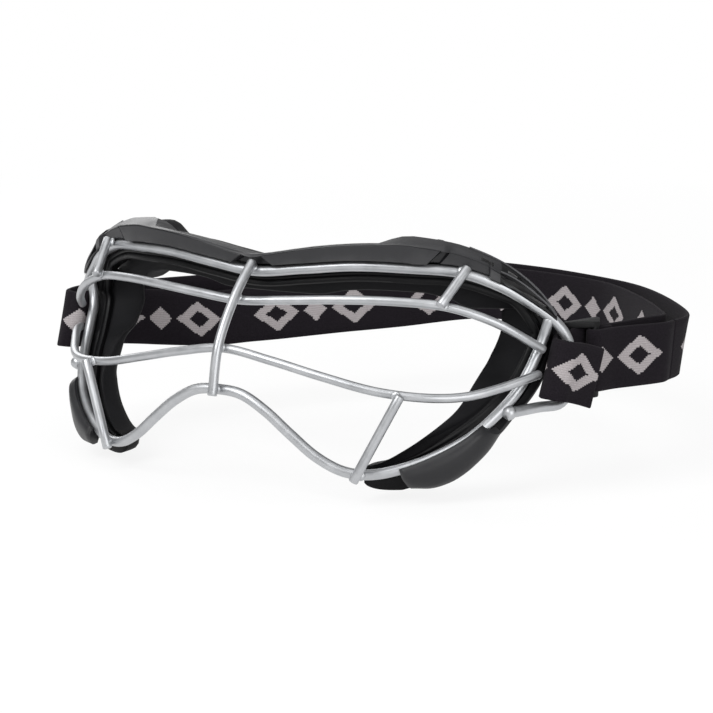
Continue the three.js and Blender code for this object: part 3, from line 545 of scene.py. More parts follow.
# Rows of the brow cap, from the brow wire: place of the lower edge and of the ridge along X, top,
# ridge, front of the ridge, lean of the facet over it, front of the lower face, lower edge, depth,
# and how far the top falls to the back.
CAP_ROWS = (
    (0.0, 0.0, 5.5, 4.5, -2.75, 0.7, 0.5, 2.0, 8.6, 1.5),
    (6.7, 2.6, 5.65, 4.8, -2.75, 0.7, 0.5, 2.0, 8.6, 1.5),
    (7.5, 3.4, 5.7, 5.0, -2.75, 0.7, -2.75, 1.9, 8.6, 1.5),
    (12.0, 11.0, 6.15, 5.6, -2.75, 0.7, -2.75, 1.9, 8.6, 1.7),
    (20.5, 20.5, 6.75, 6.2, -2.75, 0.8, -2.75, 1.9, 8.6, 2.0),
    (30.0, 30.0, 6.9, 6.45, -2.75, 0.9, -2.75, 1.9, 8.6, 2.2),
    (39.6, 39.6, 7.15, 6.7, -2.75, 1.6, -2.75, 1.9, 8.6, 2.2),
    (42.3, 42.7, 8.15, 6.95, -2.75, 4.6, -2.75, 1.9, 8.6, 1.6),
    (44.6, 45.4, 8.75, 7.1, -2.75, 7.0, -2.75, 1.9, 8.5, 1.2),
    (47.0, 48.5, 8.9, 7.0, -2.75, 7.9, -2.75, 1.9, 8.4, 1.0),
    (49.6, 52.4, 8.7, 6.6, -2.75, 7.1, -2.75, 1.6, 8.1, 0.7),
    (52.7, 56.6, 8.45, 6.1, -2.75, 5.9, -2.75, 1.6, 7.8, 0.8),
    (53.4, 57.3, 8.35, 5.9, -2.75, 5.7, 0.6, 1.95, 7.7, 0.8),
    (55.9, 58.4, 8.2, 5.75, -2.3, 5.2, 0.6, 1.95, 7.6, 0.8),
    (56.5, 59.1, 8.1, 5.6, -1.3, 4.6, -1.1, 1.95, 7.5, 0.8),
    (63.0, 63.5, 7.7, 5.2, -1.3, 4.5, -1.1, 1.95, 7.0, 0.8),
    (69.0, 69.0, 7.35, 4.7, -1.3, 4.2, -1.1, 1.95, 6.2, 0.7),
    (69.4, 69.4, 7.3, 4.6, -2.5, 5.2, -2.6, 1.2, 6.2, 0.7),
    (71.8, 71.8, 7.2, 4.1, -2.4, 4.6, -2.5, 1.1, 5.8, 0.7),
    (72.3, 72.3, 7.2, 4.0, -1.7, 3.9, -1.9, 1.0, 5.7, 0.7),
    (76.2, 76.2, 6.85, 3.2, -1.75, 3.0, -2.05, 0.8, 4.8, 0.6),
    (79.6, 79.6, 6.05, 2.6, -1.9, 2.2, -2.2, 0.7, 3.6, 0.5),
    (82.4, 82.4, 4.7, 2.1, -1.95, 1.5, -2.15, 0.6, 2.4, 0.4),
    (84.2, 84.2, 3.2, 1.7, -1.8, 0.8, -1.9, 0.5, 1.3, 0.3),
    (85.4, 85.4, 2.2, 1.4, -1.5, 0.4, -1.6, 0.4, 0.7, 0.2),
)
CAP_STEP = 2.6
# Where the wing's web begins, past which its faces take a darker copy of the cap plastic as painted
# shade, and the wing's openings: start, end, low and high edge, the share of its height that each
# keeps, and how far it rises on the way.
WING_START = 72.6
WING_OPENINGS = ((72.0, 83.4, 1.7, 4.3, 0.32, 0.1), (67.0, 70.2, 6.0, 6.85, 0.9, -0.25),
                 (73.8, 77.0, 5.55, 6.45, 0.9, -0.25), (79.0, 81.0, 4.75, 5.45, 0.9, -0.25))
# Thin raised ribs along the wing, paler than the cap as a painted highlight: place, depth and
# height.
WING_RIM = ((64.0, 3.2, 7.7), (69.5, 2.85, 7.35), (74.0, 1.85, 7.1), (77.5, 0.8, 6.65),
            (80.2, -0.15, 5.85), (82.6, -0.6, 4.6), (84.4, -1.0, 3.05), (85.3, -1.2, 2.2))
WING_SPINE = ((71.4, -1.6, 4.55), (74.0, -1.0, 4.6), (78.0, -1.0, 4.3), (81.5, -1.5, 3.6),
              (84.0, -1.6, 2.8), (85.2, -1.5, 2.0))
WING_RIB = 0.34
# The ribs of the tab that grips the brow wire: first place and pitch.
TAB_START, TAB_PITCH = 69.95, 0.65


def cap_ring(row, side):
    low_x, high_x, top, ridge, front, lean, face, chin, depth, fall = row
    outline = (
        (face + 0.25, chin), (face, chin + 0.3), (face, 0.5 * (chin + ridge)), (face, ridge - 0.3),
        (front + 0.15, ridge - 0.12), (front, ridge), (front + 0.12, ridge + 0.2),
        (front + 0.2 * lean, 0.65 * ridge + 0.35 * top),
        (front + 0.5 * lean, 0.3 * ridge + 0.7 * top),
        (front + lean - 0.2, top - 0.08), (front + lean + 0.2, top),
        (depth - 1.0, top - fall), (depth, top - fall - 0.9), (depth, chin + 0.8),
        (depth - 0.6, chin), (0.5 * depth, chin),
    )
    ring = []
    for where, height in outline:
        share = min(max((height - chin) / (ridge - chin), 0.0), 1.0)
        ring.append(on_brow(side * (low_x + (high_x - low_x) * share), where, height))
    return ring


def between(rows, step):
    """Rows with straight steps put between them where they lie far apart."""
    result = []
    for a, b in zip(rows, rows[1:]):
        count = max(1, int(round((b[0] - a[0]) / step)))
        for k in range(count):
            result.append(tuple(u + (v - u) * k / count for u, v in zip(a, b)))
    return result + [rows[-1]]


def groove(line, material):
    """A wire with its gap, to be cut out of a cap."""
    return rod("groove", even(line, 200), WIRE + WELD, None, sides=16, material=material)


def cut(obj, cutters):
    """Cuts the solids away from obj for good, and deletes them."""
    for tool in cutters:
        modifier = obj.modifiers.new("cut", "BOOLEAN")
        modifier.operation = "DIFFERENCE"
        modifier.solver = "EXACT"
        modifier.object = tool
    graph = bpy.context.evaluated_depsgraph_get()
    mesh = bpy.data.meshes.new_from_object(obj.evaluated_get(graph))
    obj.modifiers.clear()
    old = obj.data
    obj.data = mesh
    bpy.data.meshes.remove(old)
    for tool in cutters:
        bpy.data.objects.remove(tool, do_unlink=True)


def wing_cut(side, start, end, low, high, keep, rise):
    """A tapered opening through the cap's wing, rounded at its wide end."""
    rings = []
    for share in (0.0, 0.04, 0.12, 0.3, 0.5, 0.7, 0.88, 1.0):
        x = side * (start + (end - start) * share)
        width = (high - low) * (1 - (1 - keep) * share) * min(1.0, 0.45 + 5 * share)
        middle = 0.5 * (low + high) + rise * share
        bottom, top = middle - 0.5 * width, middle + 0.5 * width
        rings.append([on_brow(x, *place) for place in (
            (-8.0, bottom - 1.4), (16.0, bottom + 1.4), (16.0, top + 1.4), (-8.0, top - 1.4))])
    return loft("opening", rings, CAP, None, smooth=False)


def finish_edges(obj, node, angle):
    """Smooth faces with sharp edges kept, then the piece's place in the frame."""
    obj.data.shade_smooth()
    obj.data.set_sharp_from_angle(angle=math.radians(angle))
    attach(obj, "frame")
    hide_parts(node)


def tab_rib(name, side, x):
    """A rib with its foot wider than its crest: up its one edge and down its other."""
    edge = ((-2.15, 1.35), (-2.1, 2.4), (-2.0, 3.3))
    rings = [[on_brow(side * (x + way * width), depth - lift, height)
              for way in (-1, 1) for depth, height in edge[::-way]]
             for width, lift in ((0.2, 0.0), (0.17, 0.22), (0.09, 0.3))]
    loft(name, rings, CAP, "frame", smooth=False)


def brow_cap():
    half = between(CAP_ROWS, CAP_STEP)
    rings = [cap_ring(row, -1) for row in half[:0:-1]] + [cap_ring(row, 1) for row in half]
    cap = loft("brow_cap_shell", rings, CAP, None)
    openings = [wing_cut(side, *opening) for side in (-1, 1) for opening in WING_OPENINGS]
    cut(cap, [groove(brow_line, CAP), *openings])
    # Faces past WING_START take the darker copy of the cap plastic: painted shade on the wing.
    cap.data.materials.append(WING_SHADE_PLASTIC)
    for polygon in cap.data.polygons:
        if abs(polygon.center[0]) > MM * WING_START:
            polygon.material_index = 1
    finish_edges(cap, "brow_cap", 32)
    for side in (-1, 1):
        name = side_name(side)
        for number in range(3):
            tab_rib(f"cap_rib_{name}_{number}", side, TAB_START + TAB_PITCH * number)
        for kind, rows in (("rim", WING_RIM), ("spine", WING_SPINE)):
            line = dense([on_brow(side * x, depth, height) for x, depth, height in rows], 6)
            rod(f"wing_{kind}_{name}", line, WING_RIB, sides=10, chamfer=0.15, material=RIB_HIGHLIGHT_PLASTIC)


def frames_on(line, count):
    """Points on a line, the level ways towards the eye, and how the slope stretches Y."""
    path = even(line, 400)
    index = np.linspace(0.0, 1.0, count) * 399
    points = np.stack([np.interp(index, np.arange(400), path[:, k]) for k in range(3)], 1)
    t = tangents(points)
    inward = unit_rows(np.stack([t[:, 2], np.zeros(count), -t[:, 0]], 1))
    return points, inward, 1 / np.sqrt(1 - t[:, 1] ** 2)


def ring_at(point, way, outline, side=1):
    """A section at a point: each place is so far along the level way, and so far along +Y."""
    return [on_side(point + way * u + np.array([0, v, 0]), side) for u, v in outline]


# The cheek caps: their stretch along X, drop, front and back, and the drop's share on the way.
CHEEK_LOW, CHEEK_HIGH = 55.0, 73.4
CHEEK_DEEP, CHEEK_FRONT, CHEEK_REAR = 8.8, 3.5, 2.2
CHEEK_DROP = ((0, 0.66), (0.12, 0.9), (0.3, 1.0), (0.5, 0.96), (0.7, 0.8), (0.86, 0.66), (1, 0.46))


def cheek_cap(side):
    half = plus_half(perimeter_line)
    first, last = (next(k for k, q in enumerate(half) if q[0] >= x)
                   for x in (CHEEK_LOW, CHEEK_HIGH))
    line = even(half[first:last + 1], 60)
    points, inward, slant = (rows[::-1] for rows in frames_on(line[::-1], 34))
    rings = []
    for k, (centre, way, tilt) in enumerate(zip(points, inward, slant)):
        share = k / (len(points) - 1)
        drop = CHEEK_DEEP * smooth_read(CHEEK_DROP, share)
        end = min(share, 1 - share)
        front = CHEEK_FRONT * tilt * (1 - 0.3 * math.exp(-end / 0.03))
        rear = CHEEK_REAR + (WIRE + WELD) * (tilt - 1)
        notch = 2.4 * (1 - smoothstep(share, 0.0, 0.07))
        outline = (
            (0.35 + notch, -0.7 * front), (0.15 + notch, -0.92 * front),
            (-0.5 + notch * 0.5, -1.05 * front), (-0.16 * drop - 0.9, -1.1 * front),
            (-0.3 * drop - 0.9, -1.02 * front), (-0.62 * drop, -0.8 * front),
            (-0.86 * drop, -0.45 * front), (-0.99 * drop, 0.05 * front), (-drop, 0.5 * rear),
            (-0.97 * drop, rear), (-0.45 * drop, rear), (-0.3 * drop, 0.1 * rear),
        )
        rings.append(ring_at(centre, way, [(min(u, 0.35), v) for u, v in outline], side))
    name = side_name(side)
    cap = loft(f"cheek_cap_shell_{name}", rings, CHEEK, None)
    cut(cap, [groove(perimeter_line, CHEEK)])
    finish_edges(cap, f"cheek_cap_{name}", 34)


brow_cap()
for side in (-1, 1):
    cheek_cap(side)


# The pad carrier and the pads. The carrier crosses to the perimeter wire at the temple.
CARRIER_DEEP, CARRIER_FLAT = 6.8, 2.2
# Where along X the carrier and the pads end.
CARRIER_END, SIDE_PAD_END, BROW_PAD_END = 45.5, 43.0, 82.5
down = perimeter_half[-2:5:-1]
temple = perimeter_half[-2] * 0.7 + seat * 0.3
carrier_foot = crossing(perimeter_line, CARRIER_END)[0]
pad_foot = crossing(perimeter_line, SIDE_PAD_END)[0]
brow_places = [crossing(brow_line, share * LOOP_HALF_WIDTH)[0]
               for share in (0, 0.18, 0.36, 0.54, 0.68, 0.79, 0.86)]
carrier_line = both_halves([*brow_places, temple, *down, carrier_foot])


def pad_carrier():
    count = 300
    rings = []
    for k, (point, way, tilt) in enumerate(zip(*frames_on(carrier_line, count))):
        share = abs(2 * k / (count - 1) - 1)
        turn = smoothstep(share, 0.42, 0.56)
        front = (WIRE + 1.5 * WELD) * tilt
        depth = CARRIER_DEEP + (CARRIER_FLAT - CARRIER_DEEP) * turn
        outer = 0.1 + 0.9 * turn
        narrow = 1 - 0.75 * smoothstep(share, 0.78, 1)
        outline = (
            (-outer, front), (0.6, front), (1.1, front + 0.5), (1.5, front + 0.55), (1.9, front),
            (2.3, front + 0.5), (2.8, front + 0.55), (3.3, front + 0.1), (3.9, front - 0.15),
            (4.5, front - 0.15), (4.95, front + 0.25), (5.0, front + depth - 0.5),
            (4.4, front + depth), (-outer, front + depth),
        )
        outline = [(u * narrow if u > 0 else u, v) for u, v in outline]
        rings.append(ring_at(point, way, outline))
    carrier = loft("pad_channel", rings, CARRIER, None)
    finish_edges(carrier, "pad_carrier", 40)


# The brow pad: top and foot from the brow wire, the level its foot stays over, and its low peaks.
BROW_TOP, BROW_FOOT, BROW_FLOOR = 2.5, -9.6, -10.2
PEAK_PLACE, PEAK_WIDTH, PEAK_HEIGHT = 55.3, 4.2, 2.8
# How much the top rises outwards, the foot hangs and the foot arches, and where along X.
TOP_RISE, TOP_RISE_PLACE = 1.9, (44, 52)
FOOT_DROP, FOOT_DROP_PLACE = 2.8, (57, 65)
FOOT_ARCH, ARCH_START, ARCH_STOP = 0.9, (15, 28), (50, 57)
# Half of its section: share of its half height, and of its depth.
BROW_SECTION = ((0.3, 0), (0.9, 0), (0.98, 0.06), (1, 0.2), (1, 0.4), (0.985, 0.56), (0.94, 0.72),
                (0.85, 0.85), (0.72, 0.93), (0.55, 0.98), (0.35, 1), (0, 1))


def brow_pad():
    count = 120
    rings = []
    front = WIRE + WELD + CARRIER_DEEP + WELD
    full = BROW_DEPTH - front
    lower = [(-u, v) for u, v in BROW_SECTION]
    outline = [*lower[1:], *BROW_SECTION[-2::-1], lower[0]]
    for k in range(count + 1):
        x = BROW_PAD_END * (2 * k / count - 1)
        away = abs(x)
        wire = crossing(brow_line, away)[0]
        drop = FOOT_DROP * smoothstep(away, *FOOT_DROP_PLACE)
        arch = FOOT_ARCH * (smoothstep(away, *ARCH_START) * (1 - smoothstep(away, *ARCH_STOP)))
        low = max(BROW_FOOT, BROW_FLOOR - wire[2]) - drop + arch
        peak = math.exp(-((away - PEAK_PLACE) / PEAK_WIDTH) ** 2)
        high = BROW_TOP + TOP_RISE * smoothstep(away, *TOP_RISE_PLACE) + PEAK_HEIGHT * peak
        end = 1 - away / BROW_PAD_END
        plump = min(1.0, 0.55 + 3 * end)
        close = math.sqrt(max(0.0, 1 - (1 - min(1.0, end / 0.03)) ** 2)) * 0.5 + 0.5
        middle, half = 0.5 * (low + high), 0.5 * (high - low) * min(1.0, close)
        rings.append([on_brow(x if away > 1e-6 else 1e-6, front + full * plump * v,
                              middle + half * u) for u, v in outline])
    pad = loft("brow_foam", rings, PAD, "frame", replaces=("brow_pad",))


# The side pads: their top, and their reach towards the eye, outer edge and depth, each with its
# shares along the pad.
SIDE_TOP = -12.0
PAD_REACH, PAD_OUTER, PAD_DEPTH = 17.6, 6.5, 9.2
SIDE_REACH = ((0, 0.94), (0.14, 0.92), (0.26, 0.86), (0.34, 0.84), (0.42, 0.74), (0.52, 0.58),
              (0.6, 0.5), (0.74, 0.39), (0.88, 0.21), (1, 0.06))
SIDE_OUTER = ((0, -0.3), (0.05, 0.1), (0.12, 0.36), (0.3, 0.45), (0.46, 0.4), (0.6, 0.62),
              (0.74, 0.92), (0.88, 1), (1, 0.7))
SIDE_DEPTH = ((0, 0.33), (0.2, 0.34), (0.32, 0.39), (0.42, 0.56), (0.52, 0.8), (0.64, 0.96), (1, 1))
# Their section: a bead from the carrier's lip to the inner edge, as shares of that way and of its
# height, the face round the inner edge, as shares of reach and depth at the temple and then at the
# cheek, and the back, as shares of the outer edge and depth.
PAD_BEAD = ((0.04, 0.1), (0.1, 0.3), (0.3, 0.62), (0.5, 0.84), (0.75, 0.99), (0.9, 0.98),
            (0.97, 0.8), (1, 0.5))
PAD_FACE = ((1.0, 0.3, 1.02, 0.06), (1.0, 0.5, 1.03, 0.25), (0.985, 0.68, 1.03, 0.4),
            (0.96, 0.82, 1.02, 0.52), (0.89, 0.95, 0.96, 0.68), (0.8, 1.04, 0.86, 0.8),
            (0.66, 1.08, 0.7, 0.9), (0.5, 1.08, 0.52, 0.97), (0.3, 1.06, 0.3, 1.0))
PAD_BACK = ((0.0, 1.0), (0.4, 0.98), (0.75, 0.92), (0.96, 0.74), (1.0, 0.5), (1.0, 0.2))


def side_pad(side):
    top = temple.copy()
    top[2] = SIDE_TOP
    line = dense([top, 0.5 * (temple + down[0]), *down, pad_foot])
    count = 110
    rings = []
    for k, (point, inward, tilt) in enumerate(zip(*frames_on(line, count))):
        place = k / (count - 1)
        level = smoothstep(place, 0.02, 0.3)
        way = unit(inward * level + np.array([-1.0, 0, 0]) * (1 - level))
        end = min(place, 1 - place) / 0.045
        round_off = 1.0 if end >= 1 else 0.78 + 0.22 * math.sqrt(max(0.0, 1 - (1 - end) ** 2))
        foot_round = round_off if place > 0.5 else 1.0
        shoulder = 0.34 + 0.66 * smoothstep(-point[2], 12.2, 13.8)
        reach = PAD_REACH * smooth_read(SIDE_REACH, place) * shoulder * foot_round
        outer = PAD_OUTER * read(SIDE_OUTER, place) * foot_round
        depth = PAD_DEPTH * read(SIDE_DEPTH, place) * round_off
        front = (WIRE + 1.5 * WELD) * tilt + CARRIER_FLAT + WELD
        lower = smoothstep(place, 0.22, 0.48)
        lip = min(5.6, 0.9 * reach)
        bead_height = -1.6 + 3.2 * lower
        outline = [(-outer, front), (0.3 * lip, front), (lip, front)]
        outline += [(lip + (reach - lip) * part, front - bead_height * swell)
                    for part, swell in PAD_BEAD]
        outline += [((u0 + (u1 - u0) * lower) * reach, front + (v0 + (v1 - v0) * lower) * depth)
                    for u0, v0, u1, v1 in PAD_FACE]
        outline += [(-u * outer, front + v * depth) for u, v in PAD_BACK]
        rings.append(ring_at(point, way, outline, side))
    name = side_name(side)
    pad = loft(f"side_foam_{name}", rings, PAD, "frame", replaces=(f"side_pad_{name}",))


pad_carrier()
brow_pad()
for side in (-1, 1):
    side_pad(side)


# The strap, on edge and double round the head.
STRAP_WIDTH, STRAP_THICK, STRAP_REACH, STRAP_LEVEL, STRAP_SAG = 19.0, 1.5, 126.5, -28.4, 0.9
LAYER_SPACING, INNER_SPREAD, INNER_SAG = 8.0, 6.0, 4.5
WRAP_HALF, WRAP_FRONT, WRAP_BACK, JOINT = 4.0, 11.2, 5.0, 0.3
FLAP_LENGTH, FLAP_FRONT, FLAP_SPLAY, FLAP_DROP = 7.0, 9.0, 4.0, 3.6
SLIDER_BAR, SLIDER_BAR_WIDTH, SLIDER_PITCH, SLIDER_CHEEK, SLIDER_GAP = 1.6, 2.2, 6.2, 1.7, 0.3
SLIDER_SETBACK, END_FOLD = 11.5, 8.0
# How far into the border's repeat each stretch begins, and where the flap's lozenge has its middle.
OUTER_START, INNER_START, RIGHT_START, FLAP_MOTIF = 54.0, 26.0, 10.0, 39.5
RIPPLE = 0.12
LOOP_Y = 0.625 * CAGE_DEPTH - BROW_DEPTH
FOLD_END = WRAP_BACK + JOINT
# The outer layer from the wearer's left round the back: shares of the half width and the reach.
OUTER_SHARES = (
    (1.213, 0.284), (1.216, 0.35), (1.17, 0.425), (0.944, 0.642), (0.708, 0.818), (0.449, 0.92),
    (0.208, 0.98), (0, 1), (-0.17, 0.945), (-0.4, 0.74), (-0.7, 0.43), (-0.93, 0.17),
)
# Beyond this place the outer layer lies a little closer than its shares say.
OUTER_PULL_FROM, OUTER_PULL = 90, (0.98, 1, 1)
# Leans of the webbing: share of the way, lean to the back and outwards.
WRAP_LEAN = ((0, 0, 0), (0.25, 0.3, 0.02), (0.42, 0.6, 0), (0.5, 0.62, 0), (0.75, 0.6, 0),
             (1, 0.58, 0))
OUTER_LEAN = ((0, 0, 0.08), (0.06, 0, 0.18), (0.16, 0, 0.1), (0.3, 0, 0), (1, 0, 0))
END_LEAN = ((0, 0, 0), (0.6, 0, 0), (1, 0, 0.08))
INNER_LEAN = ((0, 0, 0), (0.5, 0, 0), (0.78, 0, 0.33), (0.88, 0, 0.33), (0.96, 0, 0))
# How far the inner layer has dropped along its way, as a share of its sag.
INNER_DROP = ((0, 0), (0.3, 0.02), (0.5, 0.09), (0.58, 0.3), (0.67, 0.55), (0.75, 0.69),
              (0.83, 0.91), (0.92, 1))


def strap_point(across, behind):
    sag = STRAP_SAG * smoothstep(behind, 0.4 * STRAP_REACH, STRAP_REACH)
    return np.array([across, LOOP_Y + behind, STRAP_LEVEL - sag])


def lean_from(rows):
    return lambda share: (read(rows, share, 1), read(rows, share, 2))


def band(name, line, count, body, lean, face, offset, replaces, wave=0.0):
    """Webbing on edge along a line. face is the side with the woven border: 1 is the outer one."""
    points = even(line, count)
    t = unit_rows(tangents(points) * (1, 1, 0))
    half_w, half_t = 0.5 * STRAP_WIDTH, 0.5 * STRAP_THICK
    flat = [s * (half_w - 0.45) for s in np.linspace(-1, 1, 9)]
    outline = [(1, v) for v in flat] + [(0.55, half_w - 0.1), (0, half_w), (-0.55, half_w - 0.1)]
    outline += [(-1, v) for v in flat[::-1]]
    outline += [(-0.55, 0.1 - half_w), (0, -half_w), (0.55, 0.1 - half_w)]
    where = run_length(points)
    rings = []
    for k in range(count):
        out = np.array([t[k][1], -t[k][0], 0.0])
        back_lean, out_lean = lean(k / (count - 1))
        edge_way = unit(np.array([0, back_lean, 1.0]) + out * out_lean)
        ring = []
        for u, v in outline:
            ripple = wave * math.sin(0.11 * where[k]) * (v / half_w) ** 2
            ring.append(points[k] + out * (u * half_t + ripple) + edge_way * v)
        rings.append(ring)

    def uv(k, j):
        u, v = outline[j % len(outline)]
        plain = 0.0 if u * face > 0.8 else math.copysign(0.05, v * face)
        return MM * (where[k] + offset), MM * v * face + plain

    return loft(name, rings, WEBBING, body, uv, replaces)


HALF_TURN = [math.pi * k / 6 for k in range(7)]


def wrap_arc():
    front = WRAP_FRONT - 0.5 * STRAP_THICK - WRAP_HALF
    return [strap_point(LOOP_HALF_WIDTH - WRAP_HALF * math.cos(angle),
                        -front - WRAP_HALF * math.sin(angle)) for angle in HALF_TURN]


def leg_point(root, target, distance):
    return root + unit(target - root) * distance


outer_points = [strap_point(a * LOOP_HALF_WIDTH, b * STRAP_REACH) for a, b in OUTER_SHARES]
outer_line = even(dense(outer_points), 481)
outer_ways = tangents(outer_line)
inner_points = []
for k in range(1, 23):
    share = k / 24
    way = unit(outer_ways[20 * k] * (1, 1, 0))
    slack = math.sin(math.pi * smoothstep(share, 0.2, 1))
    inwards = np.array([-way[1], way[0], 0])
    point = outer_line[20 * k] + inwards * (LAYER_SPACING + INNER_SPREAD * slack)
    point[2] = STRAP_LEVEL - INNER_SAG * read(INNER_DROP, share)
    inner_points.append(point)
outer_points = [q * OUTER_PULL if q[0] > OUTER_PULL_FROM else q for q in outer_points]
inner_root = strap_point(LOOP_HALF_WIDTH - WRAP_HALF, 0)
outer_root = strap_point(LOOP_HALF_WIDTH + WRAP_HALF, 0)

# The straight stretch of the inner layer, which carries the slider.
run_target = inner_points[0].copy()
run_target[2] = STRAP_LEVEL
run_start = leg_point(inner_root, run_target, FOLD_END)
run_way = unit(run_target - run_start)
run_out = np.array([run_way[1], -run_way[0], 0.0])


def beside_run(along, out):
    return run_start + run_way * along + run_out * out


def fold(name, line, lean, face, offset, node):
    """The webbing's fold round a strap loop, between the frame and the strap; it belongs to neither
    body.
    """
    wrap = band(name, line, 90, None, lean, face, offset, (node,))
    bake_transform(wrap)


def strap_pieces():
    right_inner, right_outer = mirror(inner_root), mirror(outer_root)
    inner_end, outer_end = inner_points[-1], outer_points[-1]
    inner_joint = leg_point(right_inner, inner_end, FOLD_END)
    outer_joint = leg_point(right_outer, outer_end, FOLD_END)
    inner = dense([run_start, run_start * 0.6 + run_target * 0.4,
                   run_start * 0.2 + run_target * 0.8, *inner_points,
                   leg_point(right_inner, inner_end, 2 * FOLD_END), inner_joint])
    band("strap_inner_layer", inner, 220, "strap", lean_from(INNER_LEAN), -1, INNER_START,
         ("strap_inner",), RIPPLE)
    outer = dense([*outer_points, leg_point(right_outer, outer_end, 2 * FOLD_END), outer_joint])
    band("strap_outer_layer", outer, 220, "strap", lean_from(OUTER_LEAN), 1, OUTER_START,
         ("strap_outer",), RIPPLE)
    arc = wrap_arc()
    root = arc[-1].copy()
    for k in (4, 5, 6):
        arc[k][2] -= 0.3 * FLAP_DROP * (k / 3 - 1)
    middle = root + np.array([0.4 * FLAP_SPLAY, 0.5 * FLAP_LENGTH, -0.6 * FLAP_DROP])
    end = root + np.array([FLAP_SPLAY, FLAP_LENGTH, -FLAP_DROP])
    left = dense([run_start, inner_root, *arc, middle, end])
    start = FLAP_MOTIF - (run_length(left)[-1] - 0.5 * (FLAP_LENGTH + FLAP_FRONT))
    fold("strap_fold_left", left, lean_from(WRAP_LEAN), 1, start, "strap_wrap_left")
    right = dense([inner_joint, right_inner, *[mirror(q) for q in wrap_arc()], right_outer,
                   outer_joint])

    def right_lean(share):
        lean_back, lean_out = lean_from(WRAP_LEAN)(0.7 * min(share, 1 - share))
        return lean_back, -lean_out

    fold("strap_fold_right", right, right_lean, -1, RIGHT_START, "strap_wrap_right")


# The slider's middle along the run, and how far outside it the centre bar and the others lie.
SLIDER_PLACE = SLIDER_SETBACK - WRAP_BACK
CENTRE_OUT = STRAP_THICK * 1.5 + 2 * SLIDER_GAP + 0.5 * SLIDER_BAR
OUTER_OUT = -(0.5 * STRAP_THICK + SLIDER_GAP + 0.5 * SLIDER_BAR)


def strap_end():
    """The outer layer's sewn fold round the slider's centre bar."""
    leg = 0.5 * SLIDER_BAR + SLIDER_GAP + 0.5 * STRAP_THICK
    nose = 0.5 * SLIDER_BAR_WIDTH + SLIDER_GAP + 0.5 * STRAP_THICK
    points = [beside_run(SLIDER_PLACE + END_FOLD, CENTRE_OUT - 0.6 * leg),
              beside_run(SLIDER_PLACE + SLIDER_BAR_WIDTH, CENTRE_OUT - leg)]
    points += [beside_run(SLIDER_PLACE - nose * math.sin(angle), CENTRE_OUT - leg * math.cos(angle))
               for angle in HALF_TURN]
    points.append(beside_run(SLIDER_PLACE + 0.8 * END_FOLD, CENTRE_OUT + 1.15 * leg))
    join, way = outer_points[0], tangents(dense(outer_points))[0]
    line = dense([*points, join - way * 0.5 * END_FOLD, join])
    end = band("strap_end_at_slider", line, 150, None, lean_from(END_LEAN), 1,
               OUTER_START - run_length(line)[-1], ("slider_strap_end",))
    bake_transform(end)


def rounded(corners, radius):
    """A closed outline with its corners rounded off."""
    points = [np.array(c, float) for c in corners]
    result = []
    for k, corner in enumerate(points):
        before, after = points[k - 1] - corner, points[(k + 1) % len(points)] - corner
        a = corner + unit(before) * min(radius, 0.45 * np.linalg.norm(before))
        b = corner + unit(after) * min(radius, 0.45 * np.linalg.norm(after))
        for t in (0.0, 0.25, 0.5, 0.75, 1.0):
            result.append(a * (1 - t) ** 2 + corner * 2 * t * (1 - t) + b * t * t)
    return result


def slider_block(name, corners, radius, low, high, chamfer, replaces=()):
    """An upright plate or bar of the slider: corners along and beside the run, from low to high."""
    outline = rounded(corners, radius)
    middle = np.mean(outline, axis=0)
    size = max(np.linalg.norm(q - middle) for q in outline)
    rings = []
    for level, shrink in ((low, chamfer), (low + 0.4 * chamfer, 0.3 * chamfer),
                          (low + chamfer, 0.0), (high - chamfer, 0.0),
                          (high - 0.4 * chamfer, 0.3 * chamfer), (high, chamfer)):
        ring = []
        for q in outline:
            point = beside_run(*(middle + (q - middle) * (1 - shrink / size)))
            point[2] = level
            ring.append(point)
        rings.append(ring)
    loft(name, rings, ACETAL, "slider", replaces=replaces)


def slider_frame():
    half = 0.5 * STRAP_WIDTH + SLIDER_GAP
    thick, wide = 0.5 * SLIDER_BAR, 0.5 * SLIDER_BAR_WIDTH
    reach, place = SLIDER_PITCH + wide, SLIDER_PLACE
    cheek = [(place - reach, OUTER_OUT - thick), (place + reach, OUTER_OUT - thick),
             (place + reach, OUTER_OUT + thick), (place + wide, CENTRE_OUT + thick),
             (place - wide, CENTRE_OUT + thick), (place - reach, OUTER_OUT + thick)]
    low, high = STRAP_LEVEL - half, STRAP_LEVEL + half
    slider_block("slider_cheek_top", cheek, 0.9, high, high + SLIDER_CHEEK, 0.35, ("slider",))
    slider_block("slider_cheek_foot", cheek, 0.9, low - SLIDER_CHEEK, low, 0.35)
    for name, x, out in (("near", place - SLIDER_PITCH, OUTER_OUT), ("middle", place, CENTRE_OUT),
                         ("far", place + SLIDER_PITCH, OUTER_OUT)):
        corners = [(x - wide, out - thick), (x + wide, out - thick), (x + wide, out + thick),
                   (x - wide, out + thick)]
        slider_block(f"slider_bar_{name}", corners, 0.55, low - 0.4 * SLIDER_CHEEK,
                     high + 0.4 * SLIDER_CHEEK, 0.1)


strap_pieces()
strap_end()
slider_frame()


# Stage and light, in metres. Each lamp: place, side length and power.
LAMPS = (
    ("key", (-0.25, -0.75, 0.75), 0.7, 9.0), ("fill", (0.85, -0.55, 0.30), 0.8, 5.0),
    ("top", (0.05, 0.10, 0.95), 0.9, 2.4), ("rim", (-0.75, 0.55, 0.45), 0.6, 3.0),
)
LAMP_TARGET = Vector((0.0, 0.02, -0.025))
FLOOR_LEVEL, FLOOR_REACH = -0.0662, 6.0
# How white the floor shows itself close to the goggles and further off, and where that changes.
WHITE_NEAR, WHITE_FAR, NEAR, FAR = 0.86, 1.0, 0.2, 0.9
ROOM_LIGHT = 0.36


